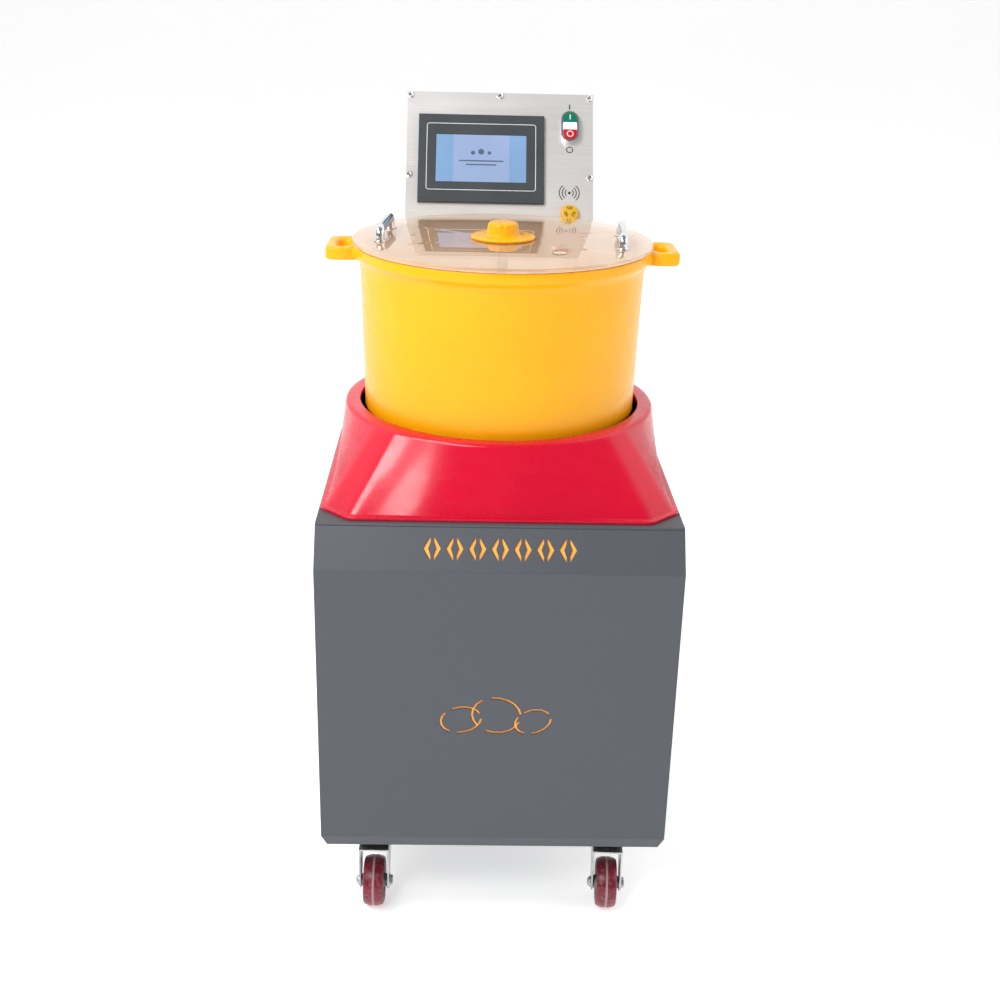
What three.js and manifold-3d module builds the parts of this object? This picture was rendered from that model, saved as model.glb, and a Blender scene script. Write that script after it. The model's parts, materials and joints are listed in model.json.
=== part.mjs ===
// A vibratory rock tumbler: a bowl on a spring-carried plate, shaken by a motor with two offset weights,
// standing in a moulded splash collar on a sheet-metal cabinet with casters and a sloping control console.
// Millimetres, +Z up, front towards -Y, origin on the floor under the middle of the cabinet.
// The front sheet's symbols are generic: chevron diamonds on the bevel and three pebbles lower down.
import * as THREE from "three";
import { mergeVertices } from "three/addons/utils/BufferGeometryUtils.js";
import Module from "manifold-3d";

const wasm = await Module();
wasm.setup();

// ---------------------------------------------------------------- driving sizes
const gap = 0.3; // left between pieces that rest on each other
const radians = Math.PI / 180;

const cabinet = {
  width: 524, depth: 720, bottom: 148, lip: 14, lipInset: 8, crease: 605, top: 663, bevelDepth: 36.5,
  sheet: 2, deck: 3, backing: 2,
};
const bowlY = -55; // the bowl's axis, measured from the middle of the cabinet

const caster = {
  x: 185, frontY: -279.5, rearY: 275, lead: 24, wheelRadius: 40, wheelWidth: 32, hubRadius: 33, boreRadius: 6.3,
  forkWidth: 47, forkSheet: 2.8, forkTop: 106, axleRadius: 6, legRadius: 13, rearReach: 30,
  raceRadius: 23, raceHeight: 7.7, block: 41, bossRadius: 13,
  turns: { front_left: -1, front_right: -3, rear_left: -8, rear_right: 10 },
};

const collar = {
  base: 520, chamfer: 43, ledge: 8, flange: 5, wall: 5, ringTop: 772, ringOuter: 238, ringInner: 216,
  lipDrop: 24, edgeRound: 4,
};

const springs = {
  circle: 150, coilRadius: 17, wire: 5, turns: 4, height: 45, pegRadius: 12, pegHeight: 12, rest: 1,
};
const seat = { radius: 180, thickness: 6, mat: 3 };
const stud = { radius: 8, aboveLid: 17 };

const bowl = {
  topRadius: 214, footRadius: 207.5, wall: 8, floor: 9, footRound: 26, rimRadius: 223, rimHeight: 15,
  postFoot: 46, postTop: 20, postHeight: 225, postBore: 11,
};
const lug = { reach: 262, width: 90, thickness: 18, belowRim: 1.5, wall: 16, corner: 20, holeLength: 60 };
const lid = { radius: 225, thickness: 5, top: 1018, seal: 2, sealInner: 205, boreRadius: 9.5, turn: -4.5 };
const lidSlot = { x: 121, y: 66, length: 13, width: 3 };
const lidHandle = { x: 178, span: 112, height: 17.5, bar: 7, bend: 9, foot: 10, footHeight: 2 };
const knob = { brimRadius: 49, brim: 6, capFoot: 25, capTop: 22.5, capHeight: 18.5, round: 4 };

const motor = {
  hangerRadius: 100, hangerDrop: 68, hangerWall: 4, caseRadius: 84, caseWall: 8, caseLength: 190, shield: 10,
  shaftRadius: 12, rotorRadius: 44, coreLength: 120, statorInner: 45.5, weightRadius: 68, weightThickness: 20,
  cupRadius: 32, cupDepth: 15, shaftEnd: 34,
};
const deckHole = 120;

const consoleBox = {
  tilt: 33.1, plateWidth: 320, plateHeight: 300, plateTopY: 347, plateTopZ: 1195, plate: 2,
  boxWidth: 306, sheet: 2, backClearance: 3, opening: 10, lipBehind: 4,
};
const column = { width: 180, depth: 84, wall: 3, backInset: 18 };
const hmi = {
  x: -32, fromTop: 44.6, width: 215, height: 161, bezel: 6, screenWidth: 154, screenHeight: 86, screen: 1.2,
  caseWidth: 196, caseHeight: 142, caseDepth: 38,
};
const pushSwitch = {
  x: 119.5, fromTop: 64.5, width: 30, height: 56, out: 10, rim: 3, barrel: 11, block: 30, blockHeight: 44,
  blockDepth: 22, capOut: 2, capDepth: 3.5, lensHeight: 13, play: 0.4, pocket: 8,
};
const buzzer = { x: 119, fromTop: 221, radius: 15.5, out: 10, barrel: 11, barrelLength: 30 };
const inlet = { x: -150, z: 230, width: 50, height: 60, flange: 2, body: 26, bodyWidth: 30, bodyHeight: 40,
  socketWidth: 22, socketHeight: 16, socketDepth: 14 };
const louvre = { width: 150, height: 6, pitch: 18, count: 6, lowest: 400 };
const badge = { count: 7, pitch: 32, width: 24, height: 34, stroke: 5, bridge: 5 };
const motif = { z: 376, stroke: 3, bridge: 0.2, backingWidth: 192, backingBelow: 45, backingAbove: 42 };

// ---------------------------------------------------------------- places worked out from the sizes
const halfDepth = cabinet.depth / 2;
const deckTop = cabinet.top;
const lipTop = cabinet.bottom + cabinet.lip;
const basePlate = { bottom: lipTop + cabinet.sheet, thickness: 4 };
const lidBottom = lid.top - lid.thickness;
const rimTop = lidBottom - gap - lid.seal - gap;
const springFoot = deckTop + gap;
const seatBottom = springFoot + springs.height + gap;
const seatTop = seatBottom + seat.thickness;
const bowlFoot = seatTop + gap + seat.mat + gap;
const caseTop = seatBottom - gap - motor.hangerDrop - gap;
const caseBottom = caseTop - motor.caseLength;
const studTop = lid.top + stud.aboveLid;

// ---------------------------------------------------------------- tools
// A closed three.js geometry as a solid that can be cut and joined.
function solid(geometry) {
  const bare = geometry.index ? geometry.toNonIndexed() : geometry.clone();
  const places = new THREE.BufferGeometry().setAttribute("position", bare.getAttribute("position"));
  const merged = mergeVertices(places, 1e-3);
  return new wasm.Manifold(
    new wasm.Mesh({
      numProp: 3,
      vertProperties: merged.attributes.position.array,
      triVerts: new Uint32Array(merged.index.array),
    }),
  );
}

function geometryOf(made) {
  const mesh = made.getMesh();
  const geometry = new THREE.BufferGeometry();
  geometry.setAttribute("position", new THREE.BufferAttribute(new Float32Array(mesh.vertProperties), 3));
  geometry.setIndex(new THREE.BufferAttribute(new Uint32Array(mesh.triVerts), 1));
  geometry.computeVertexNormals();
  return geometry;
}

const finishes = {};
function finish(name, color, roughness, metalness = 0) {
  finishes[name] = new THREE.MeshStandardMaterial({ name, color, roughness, metalness });
}

function place(parent, name, made, finishName) {
  const mesh = new THREE.Mesh(made.isBufferGeometry ? made : geometryOf(made), finishes[finishName].clone());
  mesh.name = name;
  parent.add(mesh);
  return mesh;
}

// A box from its lowest and highest corners.
function boxBetween(low, high) {
  const size = high.map((value, k) => value - low[k]);
  const middle = high.map((value, k) => (value + low[k]) / 2);
  return new THREE.BoxGeometry(...size).translate(...middle);
}

function cylinderZ(radius, bottom, top, sides = 24) {
  const turned = new THREE.CylinderGeometry(radius, radius, top - bottom, sides).rotateX(Math.PI / 2);
  return turned.translate(0, 0, (top + bottom) / 2);
}

function cylinderX(radius, left, right, sides = 20) {
  const turned = new THREE.CylinderGeometry(radius, radius, right - left, sides).rotateZ(Math.PI / 2);
  return turned.translate((left + right) / 2, 0, 0);
}

// A profile of [radius, height] pairs turned about Z. It runs up the outside and closes on itself or the axis.
function turned(profile, sides = 32) {
  const outline = profile.map(([r, z]) => new THREE.Vector2(r, z));
  return new THREE.LatheGeometry(outline, sides).rotateX(Math.PI / 2);
}

function shapeOf(points) {
  return new THREE.Shape(points.map(([x, y]) => new THREE.Vector2(x, y)));
}

function extruded(shape, depth, curveSegments = 6) {
  return new THREE.ExtrudeGeometry(shape, { depth, bevelEnabled: false, curveSegments });
}

// A [y, z] outline drawn out along X.
function alongX(points, left, right) {
  const axes = new THREE.Matrix4().makeBasis(
    new THREE.Vector3(0, 1, 0), new THREE.Vector3(0, 0, 1), new THREE.Vector3(1, 0, 0));
  return extruded(shapeOf(points), right - left).applyMatrix4(axes).translate(left, 0, 0);
}

// An [x, z] outline drawn out along Y, from back to front.
function alongY(points, front, back) {
  return extruded(shapeOf(points), back - front).rotateX(Math.PI / 2).translate(0, back, 0);
}

// A rectangle with round corners, centred on the origin.
function roundedShape(width, height, corner) {
  const [x, y] = [width / 2, height / 2];
  const shape = new THREE.Shape();
  shape.moveTo(-x + corner, -y);
  shape.lineTo(x - corner, -y).absarc(x - corner, -y + corner, corner, -Math.PI / 2, 0);
  shape.lineTo(x, y - corner).absarc(x - corner, y - corner, corner, 0, Math.PI / 2);
  shape.lineTo(-x + corner, y).absarc(-x + corner, y - corner, corner, Math.PI / 2, Math.PI);
  shape.lineTo(-x, -y + corner).absarc(-x + corner, -y + corner, corner, Math.PI, 1.5 * Math.PI);
  return shape;
}

// A convex outline, counter-clockwise, with every edge moved in by the same amount.
function drawnIn(points, amount) {
  const edges = points.map(([x, y], k) => {
    const [nextX, nextY] = points[(k + 1) % points.length];
    const length = Math.hypot(nextX - x, nextY - y);
    const [a, b] = [-(nextY - y) / length, (nextX - x) / length];
    return [a, b, a * x + b * y + amount];
  });
  return edges.map(([a, b, c], k) => {
    const [d, e, f] = edges[(k + edges.length - 1) % edges.length];
    const cross = a * e - b * d;
    return [(c * e - b * f) / cross, (a * f - c * d) / cross];
  });
}

// ---------------------------------------------------------------- finishes
finish("grey_paint", 0x5d6268, 0.55, 0.2);
finish("orange_acrylic", 0xf5892c, 0.35);
finish("red_plastic", 0xe0103a, 0.25);
finish("yellow_plastic", 0xfdb81e, 0.35);
finish("clear_acrylic", 0xf0d6c8, 0.05);
finish("silicone", 0xf2e6df, 0.5);
finish("chrome", 0xd8dade, 0.12, 1);
finish("zinc", 0xb9bcc0, 0.35, 0.9);
finish("steel", 0x8f9296, 0.45, 0.8);
finish("stainless", 0xdcdad6, 0.32, 0.8);
finish("spring_steel", 0x4c4f54, 0.4, 0.8);
finish("rubber", 0x1d1d1f, 0.8);
finish("cast_grey", 0x6f7a86, 0.5, 0.4);
finish("copper_steel", 0x8a6a4a, 0.5, 0.6);
finish("bezel_grey", 0x4b5358, 0.5);
finish("screen_blue", 0xa9c6ea, 0.15);
finish("black_plastic", 0x1f2022, 0.5);
finish("green_plastic", 0x0b7a62, 0.3);
finish("button_red", 0xc8142d, 0.3);
finish("white_lens", 0xf4f6ff, 0.2);
finish("buzzer_yellow", 0xd6a419, 0.35);
finish("wheel_grey", 0x8c8b89, 0.5);
finish("tread_maroon", 0x7e1426, 0.4);

const machine = new THREE.Group();
const overBowl = new THREE.Group();
overBowl.position.y = bowlY;
machine.add(overBowl);

// ---------------------------------------------------------------- cabinet
const sideProfile = [
  [-halfDepth + cabinet.lipInset, cabinet.bottom], [halfDepth - cabinet.lipInset, cabinet.bottom],
  [halfDepth, lipTop], [halfDepth, cabinet.top], [-halfDepth + cabinet.bevelDepth, cabinet.top], [-halfDepth, cabinet.crease],
  [-halfDepth, lipTop],
];
const halfWidth = cabinet.width / 2;
const frontProfile = [
  [-halfWidth + cabinet.lipInset, cabinet.bottom], [halfWidth - cabinet.lipInset, cabinet.bottom],
  [halfWidth, lipTop], [halfWidth, cabinet.top], [-halfWidth, cabinet.top], [-halfWidth, lipTop],
];

// The cabinet's outer shape, drawn in by a sheet's thickness for its inside.
function cabinetHull(inset) {
  const across = solid(alongX(drawnIn(sideProfile, inset), -halfWidth, halfWidth));
  return across.intersect(solid(alongY(drawnIn(frontProfile, inset), -halfDepth, halfDepth)));
}

// The side profile as a prism, moved along Y, which tells front and rear sheets from the sides.
function profileMoved(distance) {
  const moved = sideProfile.map(([y, z]) => [y + distance, z]);
  return solid(alongX(moved, -halfWidth - 1, halfWidth + 1));
}

// A diamond of two chevrons, left open at its tips so that the sheet inside it stays held.
function chevronPairs() {
  const cuts = [];
  for (let k = 0; k < badge.count; k++) {
    const middle = (k - (badge.count - 1) / 2) * badge.pitch;
    for (const side of [-1, 1]) {
      const tip = (x, y) => [middle + side * x, y];
      const [x, y] = [badge.width / 2, badge.height / 2];
      const points = [
        tip(badge.bridge / 2, y), tip(x, 0), tip(badge.bridge / 2, -y),
        tip(badge.bridge / 2, -y + badge.stroke * 1.4), tip(x - badge.stroke * 1.2, 0),
        tip(badge.bridge / 2, y - badge.stroke * 1.4),
      ];
      cuts.push(side > 0 ? points.reverse() : points);
    }
  }
  return cuts;
}

// Three pebble outlines, each an oval stroke broken by bridges.
const pebbles = [
  { x: -52, z: -8, width: 30, height: 21, tilt: 12 },
  { x: 0, z: 0, width: 36, height: 29, tilt: -8 },
  { x: 54, z: -10, width: 27, height: 19, tilt: 20 },
];
function pebbleStrokes() {
  const strokes = [];
  const steps = 5;
  for (const pebble of pebbles) {
    for (let part = 0; part < 3; part++) {
      const from = (part / 3) * 2 * Math.PI + motif.bridge;
      const to = ((part + 1) / 3) * 2 * Math.PI - motif.bridge;
      const edge = (grow, forward) =>
        Array.from({ length: steps + 1 }, (_, k) => {
          const share = forward ? k / steps : 1 - k / steps;
          const angle = from + (to - from) * share;
          const [a, b] = [(pebble.width + grow) * Math.cos(angle), (pebble.height + grow) * Math.sin(angle)];
          const [c, s] = [Math.cos(pebble.tilt * radians), Math.sin(pebble.tilt * radians)];
          return [pebble.x + a * c - b * s, pebble.z + a * s + b * c];
        });
      strokes.push([...edge(motif.stroke / 2, true), ...edge(-motif.stroke / 2, false)]);
    }
  }
  return strokes;
}

const bevelAngle = Math.atan2(cabinet.top - cabinet.crease, cabinet.bevelDepth);
const bevelMiddle = [0, -halfDepth + cabinet.bevelDepth / 2, (cabinet.crease + cabinet.top) / 2];

// Turns a shape drawn flat in XY, with its depth along Z, to lie on the bevel with its depth going inwards.
function onBevel(geometry, outwards) {
  return geometry.translate(0, 0, outwards).rotateX(bevelAngle).translate(...bevelMiddle);
}
function onFront(geometry, height) {
  return geometry.rotateX(Math.PI / 2).translate(0, -halfDepth, height);
}

function makeCabinet() {
  const sheet = cabinet.sheet;
  const deckBottom = cabinet.top - cabinet.deck;
  const above = solid(boxBetween([-400, -500, deckBottom - gap], [400, 500, cabinet.top + 50]));
  const lipEnd = cabinet.lipInset + 1;
  const floor = solid(boxBetween(
    [-halfWidth + lipEnd, -halfDepth + lipEnd, cabinet.bottom - 5],
    [halfWidth - lipEnd, halfDepth - lipEnd, lipTop]));
  const walls = cabinetHull(0).subtract(cabinetHull(sheet)).subtract(above).subtract(floor);

  let front = walls.subtract(profileMoved(sheet));
  for (const points of chevronPairs()) {
    front = front.subtract(solid(onBevel(extruded(shapeOf(points), 20), -10)));
  }
  for (const points of pebbleStrokes()) {
    front = front.subtract(solid(onFront(extruded(shapeOf(points), 20).translate(0, 0, -10), motif.z)));
  }
  place(machine, "front_panel", front, "grey_paint");

  let shell = walls.intersect(profileMoved(sheet + gap));
  for (let k = 0; k < louvre.count; k++) {
    const z = louvre.lowest + k * louvre.pitch;
    shell = shell.subtract(solid(boxBetween(
      [-louvre.width / 2, halfDepth - 20, z], [louvre.width / 2, halfDepth + 5, z + louvre.height])));
  }
  shell = shell.subtract(solid(boxBetween(
    [inlet.x - inlet.bodyWidth / 2 - gap, halfDepth - 20, inlet.z - inlet.bodyHeight / 2 - gap],
    [inlet.x + inlet.bodyWidth / 2 + gap, halfDepth + 5, inlet.z + inlet.bodyHeight / 2 + gap])));
  place(machine, "cabinet_shell", shell, "grey_paint");

  const topSlice = solid(boxBetween([-400, -500, deckBottom], [400, 500, cabinet.top + 50]));
  const motorHole = cylinderZ(deckHole, deckBottom - 5, cabinet.top + 5, 40).translate(0, bowlY, 0);
  let deck = cabinetHull(0).intersect(topSlice).subtract(solid(motorHole));
  for (const [x, y] of springPlaces()) {
    const peg = cylinderZ(springs.pegRadius, cabinet.top - 1, cabinet.top + springs.pegHeight, 12);
    deck = deck.add(solid(peg.translate(x, y + bowlY, 0)));
  }
  place(machine, "deck_plate", deck, "grey_paint");

  const inner = sheet + gap;
  place(machine, "base_plate", boxBetween(
    [-halfWidth + inner, -halfDepth + inner, basePlate.bottom],
    [halfWidth - inner, halfDepth - inner, basePlate.bottom + basePlate.thickness]), "grey_paint");

  const badgeLength = badge.count * badge.pitch + 14;
  const badgeSheet = new THREE.BoxGeometry(badgeLength, badge.height + 14, cabinet.backing);
  place(machine, "badge_backing", onBevel(badgeSheet, -sheet - gap - cabinet.backing / 2), "orange_acrylic");
  const motifSheet = boxBetween(
    [-motif.backingWidth / 2, -halfDepth + sheet + gap, motif.z - motif.backingBelow],
    [motif.backingWidth / 2, -halfDepth + sheet + gap + cabinet.backing, motif.z + motif.backingAbove]);
  place(machine, "motif_backing", motifSheet, "orange_acrylic");

  // The inlet is fitted from inside: its flange lies behind the rear sheet and its mouth is flush with it.
  const { width, height, bodyWidth, bodyHeight } = inlet;
  const flangeBack = halfDepth - sheet - gap;
  const flange = solid(boxBetween(
    [inlet.x - width / 2, flangeBack - inlet.flange, inlet.z - height / 2],
    [inlet.x + width / 2, flangeBack, inlet.z + height / 2]));
  const body = solid(boxBetween(
    [inlet.x - bodyWidth / 2, halfDepth - inlet.body, inlet.z - bodyHeight / 2],
    [inlet.x + bodyWidth / 2, halfDepth, inlet.z + bodyHeight / 2]));
  const { socketWidth, socketHeight, socketDepth } = inlet;
  const socket = solid(boxBetween(
    [inlet.x - socketWidth / 2, halfDepth - socketDepth, inlet.z - socketHeight / 2],
    [inlet.x + socketWidth / 2, halfDepth + 5, inlet.z + socketHeight / 2]));
  place(machine, "power_inlet", flange.add(body).subtract(socket), "black_plastic");
}

// ---------------------------------------------------------------- casters
function makeCaster(corner, x, y, turn) {
  const group = new THREE.Group();
  group.position.set(x, y, 0);
  group.rotation.z = turn * radians;
  machine.add(group);
  const axle = [-caster.lead, caster.wheelRadius];

  const raceBottom = caster.forkTop + gap;
  const half = caster.block / 2;
  const block = solid(boxBetween([-half, -half, raceBottom + 1], [half, half, basePlate.bottom - gap]));
  const race = solid(cylinderZ(caster.raceRadius, raceBottom, raceBottom + caster.raceHeight, 20));
  const squared = block.rotate([0, 0, -turn]);
  place(group, `caster_mount_${corner}`, squared.add(race), "black_plastic");

  // The fork is a channel cut to its side outline: upright in front, sloping up from the axle at the back.
  const legFront = axle[0] - caster.legRadius;
  const outline = new THREE.Shape();
  outline.moveTo(legFront, caster.forkTop);
  outline.lineTo(legFront, axle[1]);
  outline.absarc(axle[0], axle[1], caster.legRadius, Math.PI, 1.9 * Math.PI);
  outline.lineTo(caster.rearReach, caster.forkTop - 14);
  outline.lineTo(caster.rearReach, caster.forkTop);
  const axes = new THREE.Matrix4().makeBasis(
    new THREE.Vector3(0, 1, 0), new THREE.Vector3(0, 0, 1), new THREE.Vector3(1, 0, 0));
  const outer = caster.forkWidth / 2;
  const inner = outer - caster.forkSheet;
  const channel = solid(extruded(outline, 2 * outer, 6).applyMatrix4(axes).translate(-outer, 0, 0));
  const slot = solid(boxBetween([-inner, -100, 0], [inner, 100, caster.forkTop - caster.forkSheet]));
  const axleHole = solid(cylinderX(caster.axleRadius + gap, -60, 60, 16).translate(0, ...axle));
  place(group, `caster_fork_${corner}`, channel.subtract(slot).subtract(axleHole), "zinc");

  const hubHalf = caster.wheelWidth / 2;
  const rimDepth = 7;
  const bossHalf = inner - 1;
  const hub = turned([
    [caster.boreRadius, -bossHalf], [caster.bossRadius, -bossHalf], [caster.bossRadius, -hubHalf + rimDepth],
    [caster.hubRadius - 5, -hubHalf + rimDepth], [caster.hubRadius - 3, -hubHalf + 0.5],
    [caster.hubRadius, -hubHalf + 0.5], [caster.hubRadius, hubHalf - 0.5], [caster.hubRadius - 3, hubHalf - 0.5],
    [caster.hubRadius - 5, hubHalf - rimDepth], [caster.bossRadius, hubHalf - rimDepth],
    [caster.bossRadius, bossHalf], [caster.boreRadius, bossHalf], [caster.boreRadius, -bossHalf],
  ], 16).rotateY(Math.PI / 2).translate(0, ...axle);
  place(group, `wheel_hub_${corner}`, hub, "wheel_grey");

  const tread = turned([
    [caster.hubRadius + gap, -hubHalf], [caster.wheelRadius - 4, -hubHalf],
    [caster.wheelRadius, -hubHalf + 6],
    [caster.wheelRadius, hubHalf - 6], [caster.wheelRadius - 4, hubHalf], [caster.hubRadius + gap, hubHalf],
    [caster.hubRadius + gap, -hubHalf],
  ], 24).rotateY(Math.PI / 2).translate(0, ...axle);
  place(group, `wheel_tread_${corner}`, tread, "tread_maroon");

  const reach = outer + gap;
  const bolt = solid(cylinderX(caster.axleRadius, -reach - 1, reach + 1, 12))
    .add(solid(cylinderX(9, -reach - 7, -reach, 12)))
    .add(solid(cylinderX(8, reach, reach + 6, 6)));
  place(group, `axle_bolt_${corner}`, bolt.translate([0, ...axle]), "zinc");
}

// ---------------------------------------------------------------- splash collar
// The radius, at an angle, of the collar's chamfered square base drawn in by an amount.
function baseRadius(angle, inset) {
  const half = collar.base / 2;
  const [c, s] = [Math.abs(Math.cos(angle)), Math.abs(Math.sin(angle))];
  const side = (half - inset) / Math.max(c, s);
  const corner = (2 * half - collar.chamfer - inset * Math.SQRT2) / (c + s);
  return Math.min(side, corner);
}

function makeCollar() {
  const foot = deckTop + gap;
  const { ringTop, ringOuter, ringInner, wall, edgeRound } = collar;
  const base = (inset) => (angle) => baseRadius(angle, inset);
  const ring = (radius) => () => radius;
  // Up the outside, over the ring, down its inner lip and back down the inside.
  const profile = [
    [base(0), foot], [base(0), foot + collar.flange - 1.5], [base(1.5), foot + collar.flange],
    [base(collar.ledge), foot + collar.flange], [ring(ringOuter), ringTop - edgeRound],
    [ring(ringOuter - 1.2), ringTop - 1.2], [ring(ringOuter - edgeRound), ringTop],
    [ring(ringInner + 1.5), ringTop], [ring(ringInner), ringTop - 1.5],
    [ring(ringInner), ringTop - collar.lipDrop],
    [ring(ringInner + wall), ringTop - collar.lipDrop], [ring(ringInner + wall), ringTop - wall - 2],
    [ring(ringOuter - wall - 2), ringTop - wall - 2], [base(collar.ledge + wall), foot],
  ];
  const half = collar.base / 2;
  const cornerAngle = Math.atan2(half - collar.chamfer, half);
  const quarters = [0, 1, 2, 3].map((k) => (k * Math.PI) / 2);
  const corners = quarters.flatMap((a) => [a + cornerAngle, a + Math.PI / 2 - cornerAngle]);
  const even = Array.from({ length: 32 }, (_, k) => (k * Math.PI) / 16);
  const clear = even.filter((a) => corners.every((b) => Math.abs(a - b) > 0.03));
  const angles = [...clear, ...corners].sort((a, b) => a - b);
  const [around, up] = [angles.length, profile.length];
  const places = angles.flatMap((a) =>
    profile.flatMap(([radius, z]) => [radius(a) * Math.cos(a), radius(a) * Math.sin(a), z]));
  const faces = [];
  for (let i = 0; i < around; i++) {
    for (let j = 0; j < up; j++) {
      const [a, b] = [i * up + j, ((i + 1) % around) * up + j];
      const [c, d] = [((i + 1) % around) * up + ((j + 1) % up), i * up + ((j + 1) % up)];
      faces.push(a, b, c, a, c, d);
    }
  }
  const geometry = new THREE.BufferGeometry();
  geometry.setAttribute("position", new THREE.Float32BufferAttribute(places, 3));
  geometry.setIndex(faces);
  geometry.computeVertexNormals();
  place(overBowl, "splash_collar", geometry, "red_plastic");
}

// ---------------------------------------------------------------- spring-carried plate and its drive
function springPlaces() {
  return [45, 135, 225, 315].map((degrees) =>
    [springs.circle * Math.cos(degrees * radians), springs.circle * Math.sin(degrees * radians)]);
}

// A compression spring whose end turns lie flat, so that its line rises only between them.
class SpringLine extends THREE.Curve {
  getPoint(share, target = new THREE.Vector3()) {
    const angle = share * springs.turns * 2 * Math.PI;
    const flat = 0.16;
    const rise = Math.min(1, Math.max(0, (share - flat) / (1 - 2 * flat)));
    const travel = springs.height - springs.wire - 2 * springs.rest;
    const z = springs.wire / 2 + springs.rest + rise * travel;
    return target.set(springs.coilRadius * Math.cos(angle), springs.coilRadius * Math.sin(angle), z);
  }
}

function makeDrive() {
  const wire = new THREE.Shape();
  wire.absarc(0, 0, springs.wire / 2, 0, 2 * Math.PI);
  springPlaces().forEach(([x, y], k) => {
    const coil = new THREE.ExtrudeGeometry(wire, {
      steps: 32, extrudePath: new SpringLine(), curveSegments: 3, bevelEnabled: false });
    place(overBowl, `spring_${k + 1}`, coil.translate(x, y, springFoot), "spring_steel");
  });

  let plate = solid(cylinderZ(seat.radius, seatBottom, seatTop, 40));
  for (const [x, y] of springPlaces()) {
    const peg = cylinderZ(springs.pegRadius, seatBottom - springs.pegHeight, seatBottom + 1, 12);
    plate = plate.add(solid(peg.translate(x, y, 0)));
  }
  place(overBowl, "seat_plate", plate, "steel");
  const mat = solid(cylinderZ(seat.radius - 5, seatTop + gap, seatTop + gap + seat.mat, 40));
  const matHole = solid(cylinderZ(stud.radius + 3, seatTop - 5, seatTop + 20, 16));
  place(overBowl, "bowl_mat", mat.subtract(matHole), "rubber");
  place(overBowl, "centre_stud", cylinderZ(stud.radius, seatTop + gap, studTop, 16), "zinc");

  const hangerTop = seatBottom - gap;
  const hangerBottom = hangerTop - motor.hangerDrop;
  const { hangerRadius, hangerWall } = motor;
  place(overBowl, "motor_hanger", turned([
    [motor.caseRadius - 20, hangerBottom], [hangerRadius, hangerBottom], [hangerRadius, hangerTop],
    [hangerRadius - 18, hangerTop], [hangerRadius - 18, hangerTop - hangerWall],
    [hangerRadius - hangerWall, hangerTop - hangerWall],
    [hangerRadius - hangerWall, hangerBottom + hangerWall],
    [motor.caseRadius - 20, hangerBottom + hangerWall], [motor.caseRadius - 20, hangerBottom],
  ]), "steel");

  const { caseRadius, caseWall, shield, shaftRadius, cupRadius, cupDepth } = motor;
  const shellTop = caseTop - shield - gap;
  const shellBottom = caseBottom + shield + gap;
  place(overBowl, "motor_case", turned([
    [caseRadius - caseWall, shellBottom], [caseRadius, shellBottom], [caseRadius, shellTop],
    [caseRadius - caseWall, shellTop], [caseRadius - caseWall, shellBottom],
  ]), "cast_grey");

  // Each end shield guides the shaft in a long boss on its inner side.
  const guide = shaftRadius + gap;
  for (const [end, from, way] of [["upper", caseTop, 1], ["lower", caseBottom, -1]]) {
    const profile = [
      [guide, 0], [caseRadius, 0], [caseRadius, -shield], [cupRadius, -shield],
      [cupRadius, -shield - cupDepth], [guide, -shield - cupDepth], [guide, 0],
    ].map(([r, z]) => [r, from + way * z]);
    place(overBowl, `motor_shield_${end}`, turned(way > 0 ? profile.reverse() : profile), "cast_grey");
  }

  const coreMiddle = (caseTop + caseBottom) / 2;
  const [coreBottom, coreTop] = [coreMiddle - motor.coreLength / 2, coreMiddle + motor.coreLength / 2];
  const statorOuter = caseRadius - caseWall - gap;
  place(overBowl, "motor_stator", turned([
    [motor.statorInner, coreBottom], [statorOuter, coreBottom], [statorOuter, coreTop],
    [motor.statorInner, coreTop], [motor.statorInner, coreBottom],
  ]), "copper_steel");
  const shaftTop = caseTop + motor.shaftEnd + 4;
  const shaftBottom = caseBottom - motor.shaftEnd;
  place(overBowl, "motor_rotor", turned([
    [0, shaftBottom], [shaftRadius, shaftBottom], [shaftRadius, coreBottom], [motor.rotorRadius, coreBottom],
    [motor.rotorRadius, coreTop], [shaftRadius, coreTop], [shaftRadius, shaftTop], [0, shaftTop],
  ], 24), "steel");

  // Half-round weights, both on the same side of the shaft.
  const half = new THREE.Shape();
  half.absarc(0, 0, motor.weightRadius, -Math.PI / 2, Math.PI / 2);
  half.absarc(0, 0, 22, Math.PI / 2, 1.5 * Math.PI);
  const weightBore = (bottom) => solid(cylinderZ(shaftRadius + gap, bottom - 5, bottom + 40, 32));
  for (const [end, bottom] of [["upper", caseTop + 12], ["lower", caseBottom - 8 - motor.weightThickness]]) {
    const weight = solid(extruded(half, motor.weightThickness, 8).translate(0, 0, bottom));
    place(overBowl, `offset_weight_${end}`, weight.subtract(weightBore(bottom)), "steel");
  }
}

// ---------------------------------------------------------------- bowl
function bowlRadius(z) {
  return bowl.footRadius + ((bowl.topRadius - bowl.footRadius) * (z - bowlFoot)) / (rimTop - bowlFoot);
}

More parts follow.
